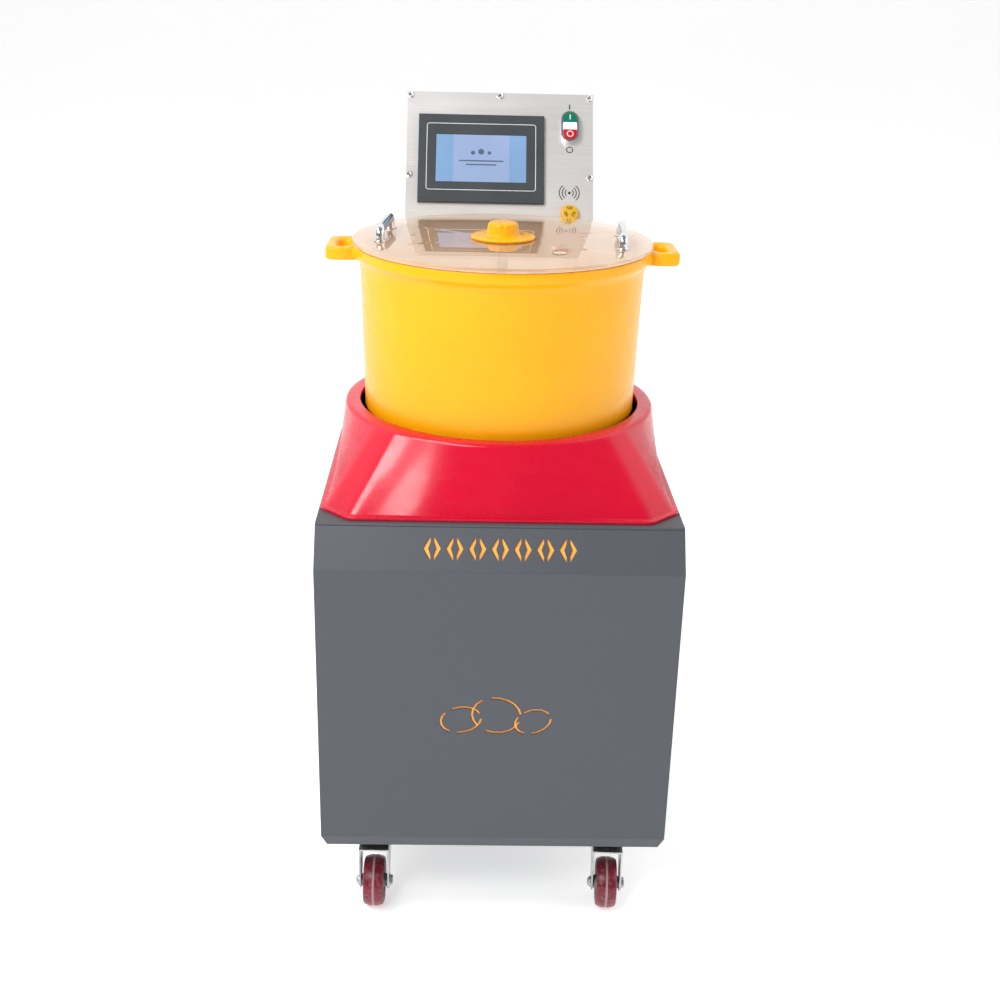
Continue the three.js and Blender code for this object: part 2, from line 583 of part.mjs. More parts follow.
function makeBowl() {
  const { wall, floor, footRound, rimRadius, rimHeight } = bowl;
  const postTop = bowlFoot + bowl.postHeight;
  const inside = footRound - wall;
  const arc = (cx, cz, r, from, to, steps) => Array.from({ length: steps + 1 }, (_, k) => {
    const angle = (from + ((to - from) * k) / steps) * radians;
    return [cx + r * Math.cos(angle), cz + r * Math.sin(angle)];
  });
  const outerFoot = bowlRadius(bowlFoot + footRound);
  const innerFoot = outerFoot - wall;
  const profile = [
    [bowl.postBore, bowlFoot],
    ...arc(outerFoot - footRound, bowlFoot + footRound, footRound, -90, 0, 3),
    [bowlRadius(rimTop - rimHeight - 6), rimTop - rimHeight - 6],
    [rimRadius - 1, rimTop - rimHeight], [rimRadius, rimTop - 3], [rimRadius - 3, rimTop],
    [bowlRadius(rimTop) - wall, rimTop],
    ...arc(innerFoot - inside, bowlFoot + floor + inside, inside, 0, -90, 2),
    [bowl.postFoot + 10, bowlFoot + floor], [bowl.postFoot, bowlFoot + floor + 10],
    [bowl.postTop, postTop - 3], [bowl.postTop - 3, postTop], [bowl.postBore, postTop],
    [bowl.postBore, bowlFoot],
  ];
  let made = solid(turned(profile, 40));
  const inner = bowlRadius(rimTop) - wall;
  for (const side of [-1, 1]) {
    const top = rimTop - lug.belowRim;
    const length = lug.reach - inner - 2;
    const ear = extruded(roundedShape(length, lug.width, lug.corner), lug.thickness, 4);
    const middle = side * (inner + 2 + length / 2);
    const held = solid(ear.translate(middle, 0, top - lug.thickness))
      .add(solid(boxBetween(
        [Math.min(side * (inner + 2), side * 235), -lug.width / 2, top - lug.thickness],
        [Math.max(side * (inner + 2), side * 235), lug.width / 2, top])));
    const holeWidth = lug.reach - lug.wall - rimRadius - 1;
    const hole = extruded(roundedShape(holeWidth, lug.holeLength, 7), lug.thickness + 20, 3);
    const holeMiddle = side * (rimRadius + 1 + holeWidth / 2);
    const fingerHole = solid(hole.translate(holeMiddle, 0, top - lug.thickness - 10));
    const hollow = solid(cylinderZ(inner + 1, bowlFoot + 50, rimTop + 20, 40));
    made = made.add(held.subtract(hollow)).subtract(fingerHole);
  }
  place(overBowl, "bowl", made, "yellow_plastic");
}

// ---------------------------------------------------------------- lid, its handles and the clamp knob
function makeLid() {
  const turnable = new THREE.Group();
  turnable.rotation.z = lid.turn * radians;
  overBowl.add(turnable);

  let disc = solid(cylinderZ(lid.radius, lidBottom, lid.top, 56));
  disc = disc.subtract(solid(cylinderZ(lid.boreRadius, lidBottom - 5, lid.top + 5, 20)));
  for (const sx of [-1, 1]) {
    for (const sy of [-1, 1]) {
      const [x, y] = [sx * lidSlot.x, sy * lidSlot.y];
      disc = disc.subtract(solid(boxBetween(
        [x - lidSlot.length / 2, y - lidSlot.width / 2, lidBottom - 5],
        [x + lidSlot.length / 2, y + lidSlot.width / 2, lid.top + 5])));
    }
  }
  place(turnable, "lid", disc, "clear_acrylic");
  const sealTop = lidBottom - gap;
  place(turnable, "lid_seal", turned([
    [lid.sealInner, sealTop - lid.seal], [lid.radius - 4, sealTop - lid.seal], [lid.radius - 4, sealTop],
    [lid.sealInner, sealTop], [lid.sealInner, sealTop - lid.seal],
  ], 40), "silicone");

  const { span, height, bar, bend, foot, footHeight } = lidHandle;
  const base = lid.top + gap;
  const rise = height - bend;
  const line = new THREE.CurvePath();
  const corner = (y, z, from, to) => {
    // A quarter bend as a three-point curve through its middle.
    const middle = (from + to) / 2;
    const at = (angle) => new THREE.Vector3(0, y + bend * Math.cos(angle), z + bend * Math.sin(angle));
    const pull = at(middle).multiplyScalar(2).sub(at(from).add(at(to)).multiplyScalar(0.5));
    return new THREE.QuadraticBezierCurve3(at(from), pull, at(to));
  };
  line.add(new THREE.LineCurve3(
    new THREE.Vector3(0, -span / 2, base + 1), new THREE.Vector3(0, -span / 2, base + rise)));
  line.add(corner(-span / 2 + bend, base + rise, Math.PI, Math.PI / 2));
  line.add(new THREE.LineCurve3(
    new THREE.Vector3(0, -span / 2 + bend, base + height),
    new THREE.Vector3(0, span / 2 - bend, base + height)));
  line.add(corner(span / 2 - bend, base + rise, Math.PI / 2, 0));
  line.add(new THREE.LineCurve3(
    new THREE.Vector3(0, span / 2, base + rise), new THREE.Vector3(0, span / 2, base + 1)));
  const section = new THREE.Shape();
  section.absarc(0, 0, bar, 0, 2 * Math.PI);
  for (const [name, side] of [["lid_handle_left", -1], ["lid_handle_right", 1]]) {
    let made = solid(new THREE.ExtrudeGeometry(section, {
      steps: 22, extrudePath: line, curveSegments: 4, bevelEnabled: false }));
    for (const end of [-1, 1]) {
      made = made.add(solid(cylinderZ(foot, base, base + footHeight, 16).translate(0, (end * span) / 2, 0)));
    }
    place(turnable, name, made.translate([side * lidHandle.x, 0, 0]), "chrome");
  }

  const knobFoot = lid.top + gap;
  const brimTop = knobFoot + knob.brim;
  const capTop = brimTop + knob.capHeight;
  const bore = stud.radius + 1;
  place(overBowl, "clamp_knob", turned([
    [bore, knobFoot], [knob.brimRadius - 3, knobFoot], [knob.brimRadius, knobFoot + 2.5],
    [knob.brimRadius, knobFoot + 4.5], [knob.brimRadius - 3, brimTop], [knob.capFoot + 3, brimTop],
    [knob.capFoot, brimTop + 3], [knob.capTop + 0.5, capTop - knob.round], [knob.capTop - knob.round, capTop],
    [0, capTop], [0, studTop + 2], [bore, studTop + 2], [bore, knobFoot],
  ], 24), "yellow_plastic");
}

// ---------------------------------------------------------------- console
const tilt = consoleBox.tilt * radians;
const downPlate = [-Math.sin(tilt), -Math.cos(tilt)]; // [y, z] of one millimetre down the plate
const inwards = [Math.cos(tilt), -Math.sin(tilt)]; // [y, z] of one millimetre into the console
const onPlate = (down, deep) =>
  [consoleBox.plateTopY + downPlate[0] * down + inwards[0] * deep,
    consoleBox.plateTopZ + downPlate[1] * down + inwards[1] * deep];

function makeConsole() {
  const { plate, sheet, plateWidth, plateHeight, boxWidth, opening, lipBehind } = consoleBox;
  const back = halfDepth - consoleBox.backClearance;
  const behind = plate + gap;
  const topFront = onPlate(lipBehind, behind);
  const bottomFront = onPlate(plateHeight - lipBehind, behind);
  const outline = [bottomFront, [back, bottomFront[1]], [back, topFront[1]], topFront];
  const shell = solid(alongX(outline, -boxWidth / 2, boxWidth / 2));
  const inside = solid(alongX(drawnIn(outline, sheet), -boxWidth / 2 + sheet, boxWidth / 2 - sheet));
  const [mouthTop, mouthBottom] = [opening + lipBehind, plateHeight - opening - lipBehind];
  const mouth = solid(alongX([
    onPlate(mouthBottom, -6), onPlate(mouthBottom, behind + 3 * sheet),
    onPlate(mouthTop, behind + 3 * sheet), onPlate(mouthTop, -6),
  ], -boxWidth / 2 + opening, boxWidth / 2 - opening));
  place(machine, "console_case", shell.subtract(inside).subtract(mouth), "stainless");

  const columnTop = bottomFront[1] - gap;
  const [columnBack, columnFront] = [back - column.backInset, back - column.backInset - column.depth];
  const tube = solid(boxBetween(
    [-column.width / 2, columnFront, deckTop + gap], [column.width / 2, columnBack, columnTop]));
  const bore = solid(boxBetween(
    [-column.width / 2 + column.wall, columnFront + column.wall, deckTop - 5],
    [column.width / 2 - column.wall, columnBack - column.wall, columnTop + 5]));
  place(machine, "console_column", tube.subtract(bore), "grey_paint");

  // Everything on the plate is made in the plate's own frame: X across, Z up the plate, -Y out of its face.
  const face = new THREE.Group();
  const [topY, topZ] = onPlate(0, 0);
  face.position.set(0, topY, topZ);
  face.rotation.x = -tilt;
  machine.add(face);

  const oval = (width, height, front, deep) => {
    const flat = extruded(roundedShape(width, height, width / 2 - 0.01), deep, 6);
    return flat.rotateX(Math.PI / 2).translate(0, front + deep, 0);
  };
  const pin = (radius, front, deep, sides = 20) =>
    new THREE.CylinderGeometry(radius, radius, deep, sides).translate(0, front + deep / 2, 0);

  let panel = solid(boxBetween([-plateWidth / 2, 0, -plateHeight], [plateWidth / 2, plate, 0]));
  const hmiMiddle = -hmi.fromTop - hmi.height / 2;
  panel = panel.subtract(solid(boxBetween(
    [hmi.x - hmi.caseWidth / 2 - 1, -5, hmiMiddle - hmi.caseHeight / 2 - 1],
    [hmi.x + hmi.caseWidth / 2 + 1, 10, hmiMiddle + hmi.caseHeight / 2 + 1])));
  for (const { x, fromTop, barrel } of [pushSwitch, buzzer]) {
    panel = panel.subtract(solid(pin(barrel + 0.5, -5, 15).translate(x, 0, -fromTop)));
  }
  place(face, "control_panel", panel, "stainless");

  const bezelFront = -gap - hmi.bezel;
  const bezel = solid(boxBetween(
    [hmi.x - hmi.width / 2, bezelFront, hmiMiddle - hmi.height / 2],
    [hmi.x + hmi.width / 2, -gap, hmiMiddle + hmi.height / 2]));
  const screenDepth = hmi.screen + 0.8;
  const [screenX, screenZ] = [hmi.screenWidth / 2, hmi.screenHeight / 2];
  const window = solid(boxBetween(
    [hmi.x - screenX - gap, bezelFront - 5, hmiMiddle - screenZ - gap],
    [hmi.x + screenX + gap, bezelFront + screenDepth + gap, hmiMiddle + screenZ + gap]));
  const enclosure = solid(boxBetween(
    [hmi.x - hmi.caseWidth / 2, -gap - 1, hmiMiddle - hmi.caseHeight / 2],
    [hmi.x + hmi.caseWidth / 2, hmi.caseDepth, hmiMiddle + hmi.caseHeight / 2]));
  place(face, "screen_housing", bezel.add(enclosure).subtract(window), "bezel_grey");
  place(face, "screen_glass", boxBetween(
    [hmi.x - screenX, bezelFront + 0.8, hmiMiddle - screenZ],
    [hmi.x + screenX, bezelFront + screenDepth, hmiMiddle + screenZ]), "screen_blue");

  // The double push switch: an oval head with a pocket, two buttons that travel in it and a lens between.
  const { width, height, out, rim, capOut, capDepth, lensHeight, play, pocket } = pushSwitch;
  const at = (made, down = 0) => made.translate([pushSwitch.x, 0, -pushSwitch.fromTop - down]);
  const front = -gap - out;
  const capWidth = width - 2 * rim;
  const capHeight = height - 2 * rim;
  const head = solid(oval(width, height, front, out))
    .subtract(solid(oval(capWidth, capHeight, front - 2, pocket + 2)))
    .add(solid(pin(pushSwitch.barrel, -gap - 1, plate + 2 * gap + 11)));
  place(face, "switch_head", at(head), "chrome");
  const blockFront = plate + gap * 2 + 10;
  const contacts = boxBetween(
    [-pushSwitch.block / 2, blockFront, -pushSwitch.blockHeight / 2],
    [pushSwitch.block / 2, blockFront + pushSwitch.blockDepth, pushSwitch.blockHeight / 2]);
  place(face, "switch_contacts", at(solid(contacts)), "black_plastic");
  const cap = solid(oval(capWidth - 2 * play, capHeight - 2 * play, front - capOut, capOut + capDepth));
  const band = (low, high) => solid(boxBetween([-40, -40, low], [40, 40, high]));
  place(face, "on_button", at(cap.intersect(band(lensHeight / 2 + play, 60))), "green_plastic");
  place(face, "off_button", at(cap.intersect(band(-60, -lensHeight / 2 - play))), "button_red");
  const lens = solid(boxBetween(
    [-capWidth / 2 + play, front - capOut + 0.5, -lensHeight / 2],
    [capWidth / 2 - play, front + pocket - gap, lensHeight / 2]));
  place(face, "pilot_lens", at(lens), "white_lens");

  const dome = turned([
    [0, -buzzer.barrelLength], [buzzer.barrel, -buzzer.barrelLength], [buzzer.barrel, gap],
    [buzzer.radius, gap],
    [buzzer.radius, gap + buzzer.out - 4], [buzzer.radius - 3, gap + buzzer.out - 1], [0, gap + buzzer.out],
  ], 28).rotateX(Math.PI / 2).translate(buzzer.x, 0, -buzzer.fromTop);
  place(face, "buzzer", dome, "buzzer_yellow");
}

makeCabinet();
for (const [corner, turn] of Object.entries(caster.turns)) {
  const x = corner.endsWith("left") ? -caster.x : caster.x;
  const y = corner.startsWith("front") ? caster.frontY : caster.rearY;
  makeCaster(corner, x, y, turn);
}
makeCollar();
makeDrive();
makeBowl();
makeLid();
makeConsole();

export default machine;
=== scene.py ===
"""Vibratory rock tumbler: the finished shape and surface of every piece, built around the machine's frame."""

import json
import math

import bmesh
import bpy
from bpy.props import FloatProperty, FloatVectorProperty, IntProperty, PointerProperty
from mathutils import Matrix, Vector

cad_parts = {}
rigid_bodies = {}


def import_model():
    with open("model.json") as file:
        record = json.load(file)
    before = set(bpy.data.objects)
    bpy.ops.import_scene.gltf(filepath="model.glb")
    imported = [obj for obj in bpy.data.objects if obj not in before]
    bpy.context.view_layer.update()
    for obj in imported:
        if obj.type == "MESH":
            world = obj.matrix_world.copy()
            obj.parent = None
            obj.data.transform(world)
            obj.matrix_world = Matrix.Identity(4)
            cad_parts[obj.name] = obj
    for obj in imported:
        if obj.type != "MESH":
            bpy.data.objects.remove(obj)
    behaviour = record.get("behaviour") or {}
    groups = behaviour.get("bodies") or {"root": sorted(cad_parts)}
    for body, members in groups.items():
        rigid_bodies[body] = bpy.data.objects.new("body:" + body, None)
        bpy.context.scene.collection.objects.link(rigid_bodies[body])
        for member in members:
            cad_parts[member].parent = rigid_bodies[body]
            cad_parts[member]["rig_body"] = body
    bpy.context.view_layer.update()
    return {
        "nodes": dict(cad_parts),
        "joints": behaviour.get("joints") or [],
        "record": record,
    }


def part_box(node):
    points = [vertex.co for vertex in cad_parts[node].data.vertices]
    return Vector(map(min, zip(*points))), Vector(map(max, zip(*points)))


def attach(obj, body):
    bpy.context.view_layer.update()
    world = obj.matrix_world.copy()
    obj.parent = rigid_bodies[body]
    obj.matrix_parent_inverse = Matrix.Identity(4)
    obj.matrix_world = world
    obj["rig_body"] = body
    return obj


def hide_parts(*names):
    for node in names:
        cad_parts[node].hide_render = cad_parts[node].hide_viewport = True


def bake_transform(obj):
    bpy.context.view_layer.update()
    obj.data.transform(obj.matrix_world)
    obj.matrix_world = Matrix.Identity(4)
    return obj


bl_info = {
    "name": "Vibratory Rock Tumbler",
    "version": (1, 0, 0),
    "blender": (4, 5, 0),
    "location": "View3D > Sidebar > Tumbler",
    "description": "Builds the bowl, lid, collar, cabinet, console, drive and casters of a rock tumbler",
    "category": "Add Mesh",
}

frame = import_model()
JOINTS = {joint["name"]: joint for joint in frame["joints"]}
SLOTS = {part["node"]: part["material_slot"] for part in frame["record"]["subparts"]}
BODY_OF = {node: body for body, nodes in frame["record"]["behaviour"]["bodies"].items() for node in nodes}
MM = 0.001


# ---------------------------------------------------------------- places read from the frame
def span(node):
    """A frame piece's lowest and highest corner."""
    low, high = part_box(node)
    return Vector(low), Vector(high)


def middle(node):
    low, high = span(node)
    return (low + high) / 2


def span_in(node, place):
    """A frame piece's lowest and highest corner, measured along the axes of a placed frame."""
    back = place.inverted()
    points = [back @ vertex.co for vertex in frame["nodes"][node].data.vertices]
    low = Vector([min(point[k] for point in points) for k in range(3)])
    high = Vector([max(point[k] for point in points) for k in range(3)])
    return low, high


BOWL_AXIS = Vector((0, middle("seat_plate").y, 0))
AT_BOWL = Matrix.Translation(BOWL_AXIS)
PLATE_TILT = math.asin(-JOINTS["on_button_press"]["axis"][2])
PLATE_THICKNESS = 2 * MM


def lid_place():
    """The lid's own frame: on the bowl's axis, turned as the lid lies."""
    offset = middle("lid_handle_right") - BOWL_AXIS
    return AT_BOWL @ Matrix.Rotation(math.atan2(offset.y, offset.x), 4, "Z")


def plate_place():
    """The control plate's own frame: X across, Z up the plate from its top edge, -Y out of its face."""
    high = span("control_panel")[1]
    top = Vector((0, high.y - PLATE_THICKNESS * math.cos(PLATE_TILT), high.z))
    return Matrix.Translation(top) @ Matrix.Rotation(-PLATE_TILT, 4, "X")


def caster_place(corner):
    """One caster's own frame: on the floor under its swivel, with X along its axle."""
    pivot = JOINTS[f"swivel_{corner}"]["pos_m"]
    axle = JOINTS[f"roll_{corner}"]["axis"]
    turn = Matrix.Rotation(math.atan2(axle[1], axle[0]), 4, "Z")
    return Matrix.Translation((pivot[0], pivot[1], 0)) @ turn


CORNERS = ("front_left", "front_right", "rear_left", "rear_right")


# ---------------------------------------------------------------- sizes and colours
class TumblerShapes(bpy.types.PropertyGroup):
    """Sizes of what is softened, rounded or added on the frame's pieces"""

    round_steps: IntProperty(
        name="Round steps", description="Sides of the large round pieces", default=160, min=48, max=320)
    bend_radius: FloatProperty(
        name="Bend radius", description="Outer radius of the cabinet's folded edges",
        default=2.6 * MM, unit="LENGTH")
    sheet_edge: FloatProperty(
        name="Sheet edge", description="Rounding of cut sheet edges", default=0.5 * MM, unit="LENGTH")
    bowl_wall: FloatProperty(
        name="Bowl wall", description="Thickness of the bowl's wall", default=8 * MM, unit="LENGTH")
    lug_width: FloatProperty(
        name="Lug width", description="Width of each bowl lug", default=90 * MM, unit="LENGTH")
    collar_edge: FloatProperty(
        name="Collar edge", description="Rounding of the collar's upper ring", default=5 * MM, unit="LENGTH")
    screw_radius: FloatProperty(
        name="Panel screw radius", description="Radius of the dome screws on the control plate",
        default=6 * MM, unit="LENGTH")
    lip_drop: FloatProperty(
        name="Lip drop", description="How much deeper the front's lower lip hangs", default=6 * MM,
        unit="LENGTH")
    tread_line: FloatProperty(
        name="Tread line", description="Width of the pale moulding line round each tread",
        default=3.6 * MM, unit="LENGTH")


class TumblerColours(bpy.types.PropertyGroup):
    """Colours of the main finishes"""

    paint: FloatVectorProperty(
        name="Cabinet paint", description="Textured powder coat on the cabinet",
        default=(0.086, 0.093, 0.108), size=3, subtype="COLOR", min=0, max=1)
    bowl: FloatVectorProperty(
        name="Bowl", description="Moulded bowl and knob", default=(0.97, 0.455, 0.001), size=3,
        subtype="COLOR", min=0, max=1)
    collar: FloatVectorProperty(
        name="Collar", description="Moulded splash collar", default=(0.66, 0.001, 0.028), size=3,
        subtype="COLOR", min=0, max=1)
    accent: FloatVectorProperty(
        name="Accent", description="Sheets behind the cut-out symbols", default=(1.0, 0.38, 0.045), size=3,
        subtype="COLOR", min=0, max=1)
    tread: FloatVectorProperty(
        name="Tread", description="Caster treads", default=(0.21, 0.010, 0.028), size=3,
        subtype="COLOR", min=0, max=1)


class TumblerStudio(bpy.types.PropertyGroup):
    """Floor and lights"""

    key_power: FloatProperty(
        name="Key light", description="Power of the large left light", default=30.0, unit="POWER")
    fill_power: FloatProperty(
        name="Fill light", description="Power of the right light", default=20.0, unit="POWER")
    top_power: FloatProperty(
        name="Top light", description="Power of the light overhead", default=30.0, unit="POWER")
    gloss_power: FloatProperty(
        name="Gloss light", description="Power of the light mirrored in the collar", default=13.0,
        unit="POWER")
    sky: FloatProperty(
        name="Sky", description="Strength of the white surroundings behind the machine", default=1.3, min=0)
    room: FloatProperty(
        name="Room", description="Strength of the dimmer surroundings behind the camera", default=0.24, min=0)
    focal_length: FloatProperty(
        name="Focal length", description="Lens of the camera in millimetres", default=48.45, min=10)


# ---------------------------------------------------------------- finishes
class Finish:
    """One surface's nodes, laid out by short calls."""

    def __init__(self, name, **sockets):
        self.material = bpy.data.materials.new(name)
        self.material.use_nodes = True
        self.nodes = self.material.node_tree.nodes
        self.links = self.material.node_tree.links
        self.shader = self.nodes["Principled BSDF"]
        self.position = self.nodes.new("ShaderNodeTexCoord").outputs["Object"]
        for socket, value in sockets.items():
            self.shader.inputs[socket.replace("_", " ")].default_value = value

    def node(self, kind, inputs, **settings):
        made = self.nodes.new(kind)
        for setting, value in settings.items():
            setattr(made, setting, value)
        for socket, value in inputs.items():
            target = made.inputs[socket]
            if isinstance(value, bpy.types.NodeSocket):
                self.links.new(value, target)
            else:
                target.default_value = value
        return made

    def stretched(self, stretch):
        return self.node("ShaderNodeMapping", {"Vector": self.position, "Scale": stretch}).outputs["Vector"]

    def noise(self, scale, detail=3.0, stretch=(1, 1, 1), warp=0.0):
        """Soft noise with this many lumps to a metre."""
        inputs = {"Vector": self.stretched(stretch), "Scale": scale, "Detail": detail, "Distortion": warp}
        return self.node("ShaderNodeTexNoise", inputs).outputs["Fac"]

    def cells(self, scale, feature="F1", stretch=(1, 1, 1)):
        inputs = {"Vector": self.stretched(stretch), "Scale": scale}
        return self.node("ShaderNodeTexVoronoi", inputs, feature=feature).outputs["Distance"]

    def levels(self, value, low, high, start=0.0, end=1.0):
        """value, from low to high, becomes start to end and no further."""
        inputs = {"Value": value, "From Min": low, "From Max": high, "To Min": start, "To Max": end}
        return self.node("ShaderNodeMapRange", inputs).outputs["Result"]

    def times(self, first, second):
        return self.node("ShaderNodeMath", {0: first, 1: second}, operation="MULTIPLY").outputs[0]

    def plus(self, first, second):
        return self.node("ShaderNodeMath", {0: first, 1: second}, operation="ADD").outputs[0]

    def mixed(self, factor, first, second):
        first, second = [(*c, 1.0) if isinstance(c, tuple) and len(c) == 3 else c for c in (first, second)]
        return self.node("ShaderNodeMix", {0: factor, 6: first, 7: second}, data_type="RGBA").outputs[2]

    def feed(self, socket, value):
        self.links.new(value, self.shader.inputs[socket])

    def bump(self, height, depth, strength=1.0):
        made = self.node("ShaderNodeBump", {"Height": height, "Distance": depth, "Strength": strength})
        self.feed("Normal", made.outputs["Normal"])


def shaded(colour, share):
    return tuple(min(1.0, channel * share) for channel in colour)


def scratches(made, scale, amount, stretch=(1, 14, 14)):
    """Thin long marks, gathered in patches."""
    lines = made.levels(made.noise(scale, 2.0, stretch), 0.70, 0.74)
    patches = made.levels(made.noise(9.0, 2.0), 0.52, 0.66, 0.0, amount)
    return made.times(lines, patches)


def powder_coat(colour, bend):
    """Fine-textured coating, its folded edges rounded in the shading by the bend radius."""
    made = Finish("grey_paint", Metallic=0.1, Specular_IOR_Level=0.35)
    speckle = made.levels(made.noise(1500.0, 2.0), 0.35, 0.65)
    cloud = made.levels(made.noise(5.0, 3.0), 0.3, 0.7)
    grain = made.mixed(speckle, shaded(colour, 0.82), shaded(colour, 1.2))
    made.feed("Base Color", made.mixed(made.times(cloud, 0.25), grain, shaded(colour, 1.25)))
    made.feed("Roughness", made.levels(made.plus(speckle, cloud), 0.0, 2.0, 0.42, 0.62))
    made.bump(made.plus(made.noise(900.0, 2.0), made.times(made.noise(240.0, 2.0), 0.6)), 0.35 * MM, 0.45)
    bends = made.node("ShaderNodeBevel", {"Radius": bend}, samples=6)
    made.links.new(bends.outputs["Normal"], made.nodes["Bump"].inputs["Normal"])
    return made.material


def moulded_red(colour):
    """Glossy moulding with a soft ripple, and pits and scuffs in patches."""
    made = Finish("red_plastic", Coat_Weight=0.35, Coat_Roughness=0.14, IOR=1.5, Specular_IOR_Level=0.25)
    cloud = made.levels(made.noise(7.0, 4.0, warp=0.4), 0.3, 0.7)
    pits = made.levels(made.cells(330.0), 0.17, 0.10)
    worn = made.levels(made.noise(10.0, 3.0), 0.60, 0.70)
    marks = made.plus(scratches(made, 120.0, 0.8), made.times(pits, worn))
    base = made.mixed(cloud, shaded(colour, 0.93), shaded(colour, 1.06))
    made.feed("Base Color", made.mixed(made.times(marks, 0.35), base, (0.55, 0.02, 0.05)))
    haze = made.levels(made.noise(26.0, 5.0, (1, 2, 2)), 0.4, 0.7, 0.0, 0.12)
    made.feed("Roughness", made.plus(made.times(marks, 0.25), made.plus(haze, 0.23)))
    ripple = made.plus(made.times(made.noise(18.0, 2.0), 1.5), made.times(marks, -0.25))
    made.bump(ripple, 0.8 * MM, 0.35)
    return made.material


def moulded_yellow(colour):
    """Satin moulding with a few dark specks, worn lightly by hands."""
    made = Finish("yellow_plastic", Subsurface_Weight=0.06, Subsurface_Scale=0.004, IOR=1.48,
                  Coat_Weight=0.1, Coat_Roughness=0.08, Specular_IOR_Level=0.3)
    cloud = made.levels(made.noise(6.0, 3.0), 0.3, 0.7)
    specks = made.levels(made.cells(28.0), 0.055, 0.03, 0.0, 0.45)
    base = made.mixed(cloud, shaded(colour, 0.96), shaded(colour, 1.03))
    made.feed("Base Color", made.mixed(specks, base, shaded(colour, 0.72)))
    handled = scratches(made, 150.0, 0.35, (10, 10, 1.2))
    made.feed("Roughness", made.plus(handled, made.levels(made.noise(35.0, 4.0), 0.3, 0.7, 0.24, 0.34)))
    made.bump(made.plus(made.noise(12.0, 2.0), made.times(made.noise(700.0, 2.0), 0.03)), 0.7 * MM, 0.3)
    return made.material


def clear_sheet():
    """Clear sheet with a painted warm glow that stands in for the lit bowl interior seen through it: it
    mirrors more the flatter it is looked along.
    """
    made = Finish("clear_acrylic", Metallic=1.0)
    fog = made.levels(made.noise(4.0, 3.0), 0.3, 0.75)
    made.feed("Base Color", made.mixed(fog, (0.99, 0.95, 0.91), (0.94, 0.89, 0.84)))
    wipes = scratches(made, 90.0, 0.10, (1.5, 12, 12))
    made.feed("Roughness", made.plus(wipes, made.levels(fog, 0.0, 1.0, 0.0, 0.015)))
    tint = made.mixed(fog, (1.0, 0.98, 0.96), (0.97, 0.94, 0.91))
    clear = made.node("ShaderNodeBsdfTransparent", {"Color": tint}).outputs["BSDF"]
    # Painted see-through glow: a peach diffuse layer, mixed in by haze, stands in for the lit bowl interior
    # seen through the lid.
    painted_interior_tint = made.mixed(fog, (0.96, 0.66, 0.40), (0.92, 0.60, 0.33))
    painted_interior_glow = made.node("ShaderNodeBsdfDiffuse", {"Color": painted_interior_tint})
    haze = made.levels(fog, 0.0, 1.0, 0.36, 0.42)
    through = made.node("ShaderNodeMixShader", {0: haze, 1: clear, 2: painted_interior_glow.outputs["BSDF"]}).outputs["Shader"]
    facing = made.node("ShaderNodeLayerWeight", {"Blend": 0.5}).outputs["Facing"]
    share = made.levels(made.times(facing, made.times(facing, facing)), 0.0, 1.0, 0.05, 0.85)
    both = made.node("ShaderNodeMixShader", {0: share, 1: through, 2: made.shader.outputs["BSDF"]})
    made.links.new(both.outputs["Shader"], made.nodes["Material Output"].inputs["Surface"])
    return made.material


def soft_gasket():
    """Pale moulded seal, a little clouded."""
    made = Finish("silicone", Subsurface_Weight=0.1, Subsurface_Scale=0.002)
    cloud = made.levels(made.noise(40.0, 4.0), 0.3, 0.7)
    made.feed("Base Color", made.mixed(cloud, (0.86, 0.72, 0.64), (0.93, 0.82, 0.76)))
    made.feed("Roughness", made.levels(cloud, 0.0, 1.0, 0.45, 0.6))
    made.bump(made.noise(300.0, 3.0), 0.2 * MM, 0.3)
    return made.material


def polished_chrome():
    """Bright plating with hairline scratches."""
    made = Finish("chrome", Metallic=1.0)
    cloud = made.levels(made.noise(30.0, 3.0), 0.35, 0.7)
    made.feed("Base Color", made.mixed(cloud, (0.72, 0.73, 0.75), (0.82, 0.83, 0.85)))
    made.feed("Roughness", made.plus(scratches(made, 300.0, 0.2), made.levels(cloud, 0.0, 1.0, 0.05, 0.12)))
    made.bump(made.noise(60.0, 2.0), 0.15 * MM, 0.2)
    return made.material


def plated_zinc():
    """Spangled plating with grime in scattered patches."""
    made = Finish("zinc", Metallic=0.92)
    spangle = made.levels(made.cells(160.0, "SMOOTH_F1"), 0.1, 0.7)
    grime = made.levels(made.noise(45.0, 5.0), 0.45, 0.75)
    plate = made.mixed(spangle, (0.42, 0.43, 0.45), (0.66, 0.66, 0.66))
    made.feed("Base Color", made.mixed(made.times(grime, 0.5), plate, (0.22, 0.21, 0.19)))
    made.feed("Roughness", made.levels(made.plus(spangle, grime), 0.0, 2.0, 0.26, 0.52))
    made.bump(made.plus(made.noise(400.0, 3.0), made.times(grime, 0.5)), 0.15 * MM, 0.35)
    return made.material


def brushed_plate():
    """Sheet brushed along its width, with faint smears."""
    made = Finish("stainless", Metallic=0.35, Anisotropic=0.3)
    strokes = made.noise(700.0, 4.0, (0.02, 1, 1))
    broad = made.levels(made.noise(60.0, 3.0, (0.05, 1, 1)), 0.3, 0.7)
    smear = made.levels(made.noise(9.0, 4.0, warp=0.5), 0.45, 0.75)
    steel = made.mixed(made.levels(strokes, 0.35, 0.65), (0.72, 0.708, 0.70), (0.79, 0.778, 0.77))
    made.feed("Base Color", made.mixed(made.times(smear, 0.25), steel, (0.70, 0.68, 0.66)))
    made.feed("Roughness", made.levels(made.plus(broad, smear), 0.0, 2.0, 0.30, 0.48))
    made.bump(strokes, 0.04 * MM, 0.12)
    return made.material


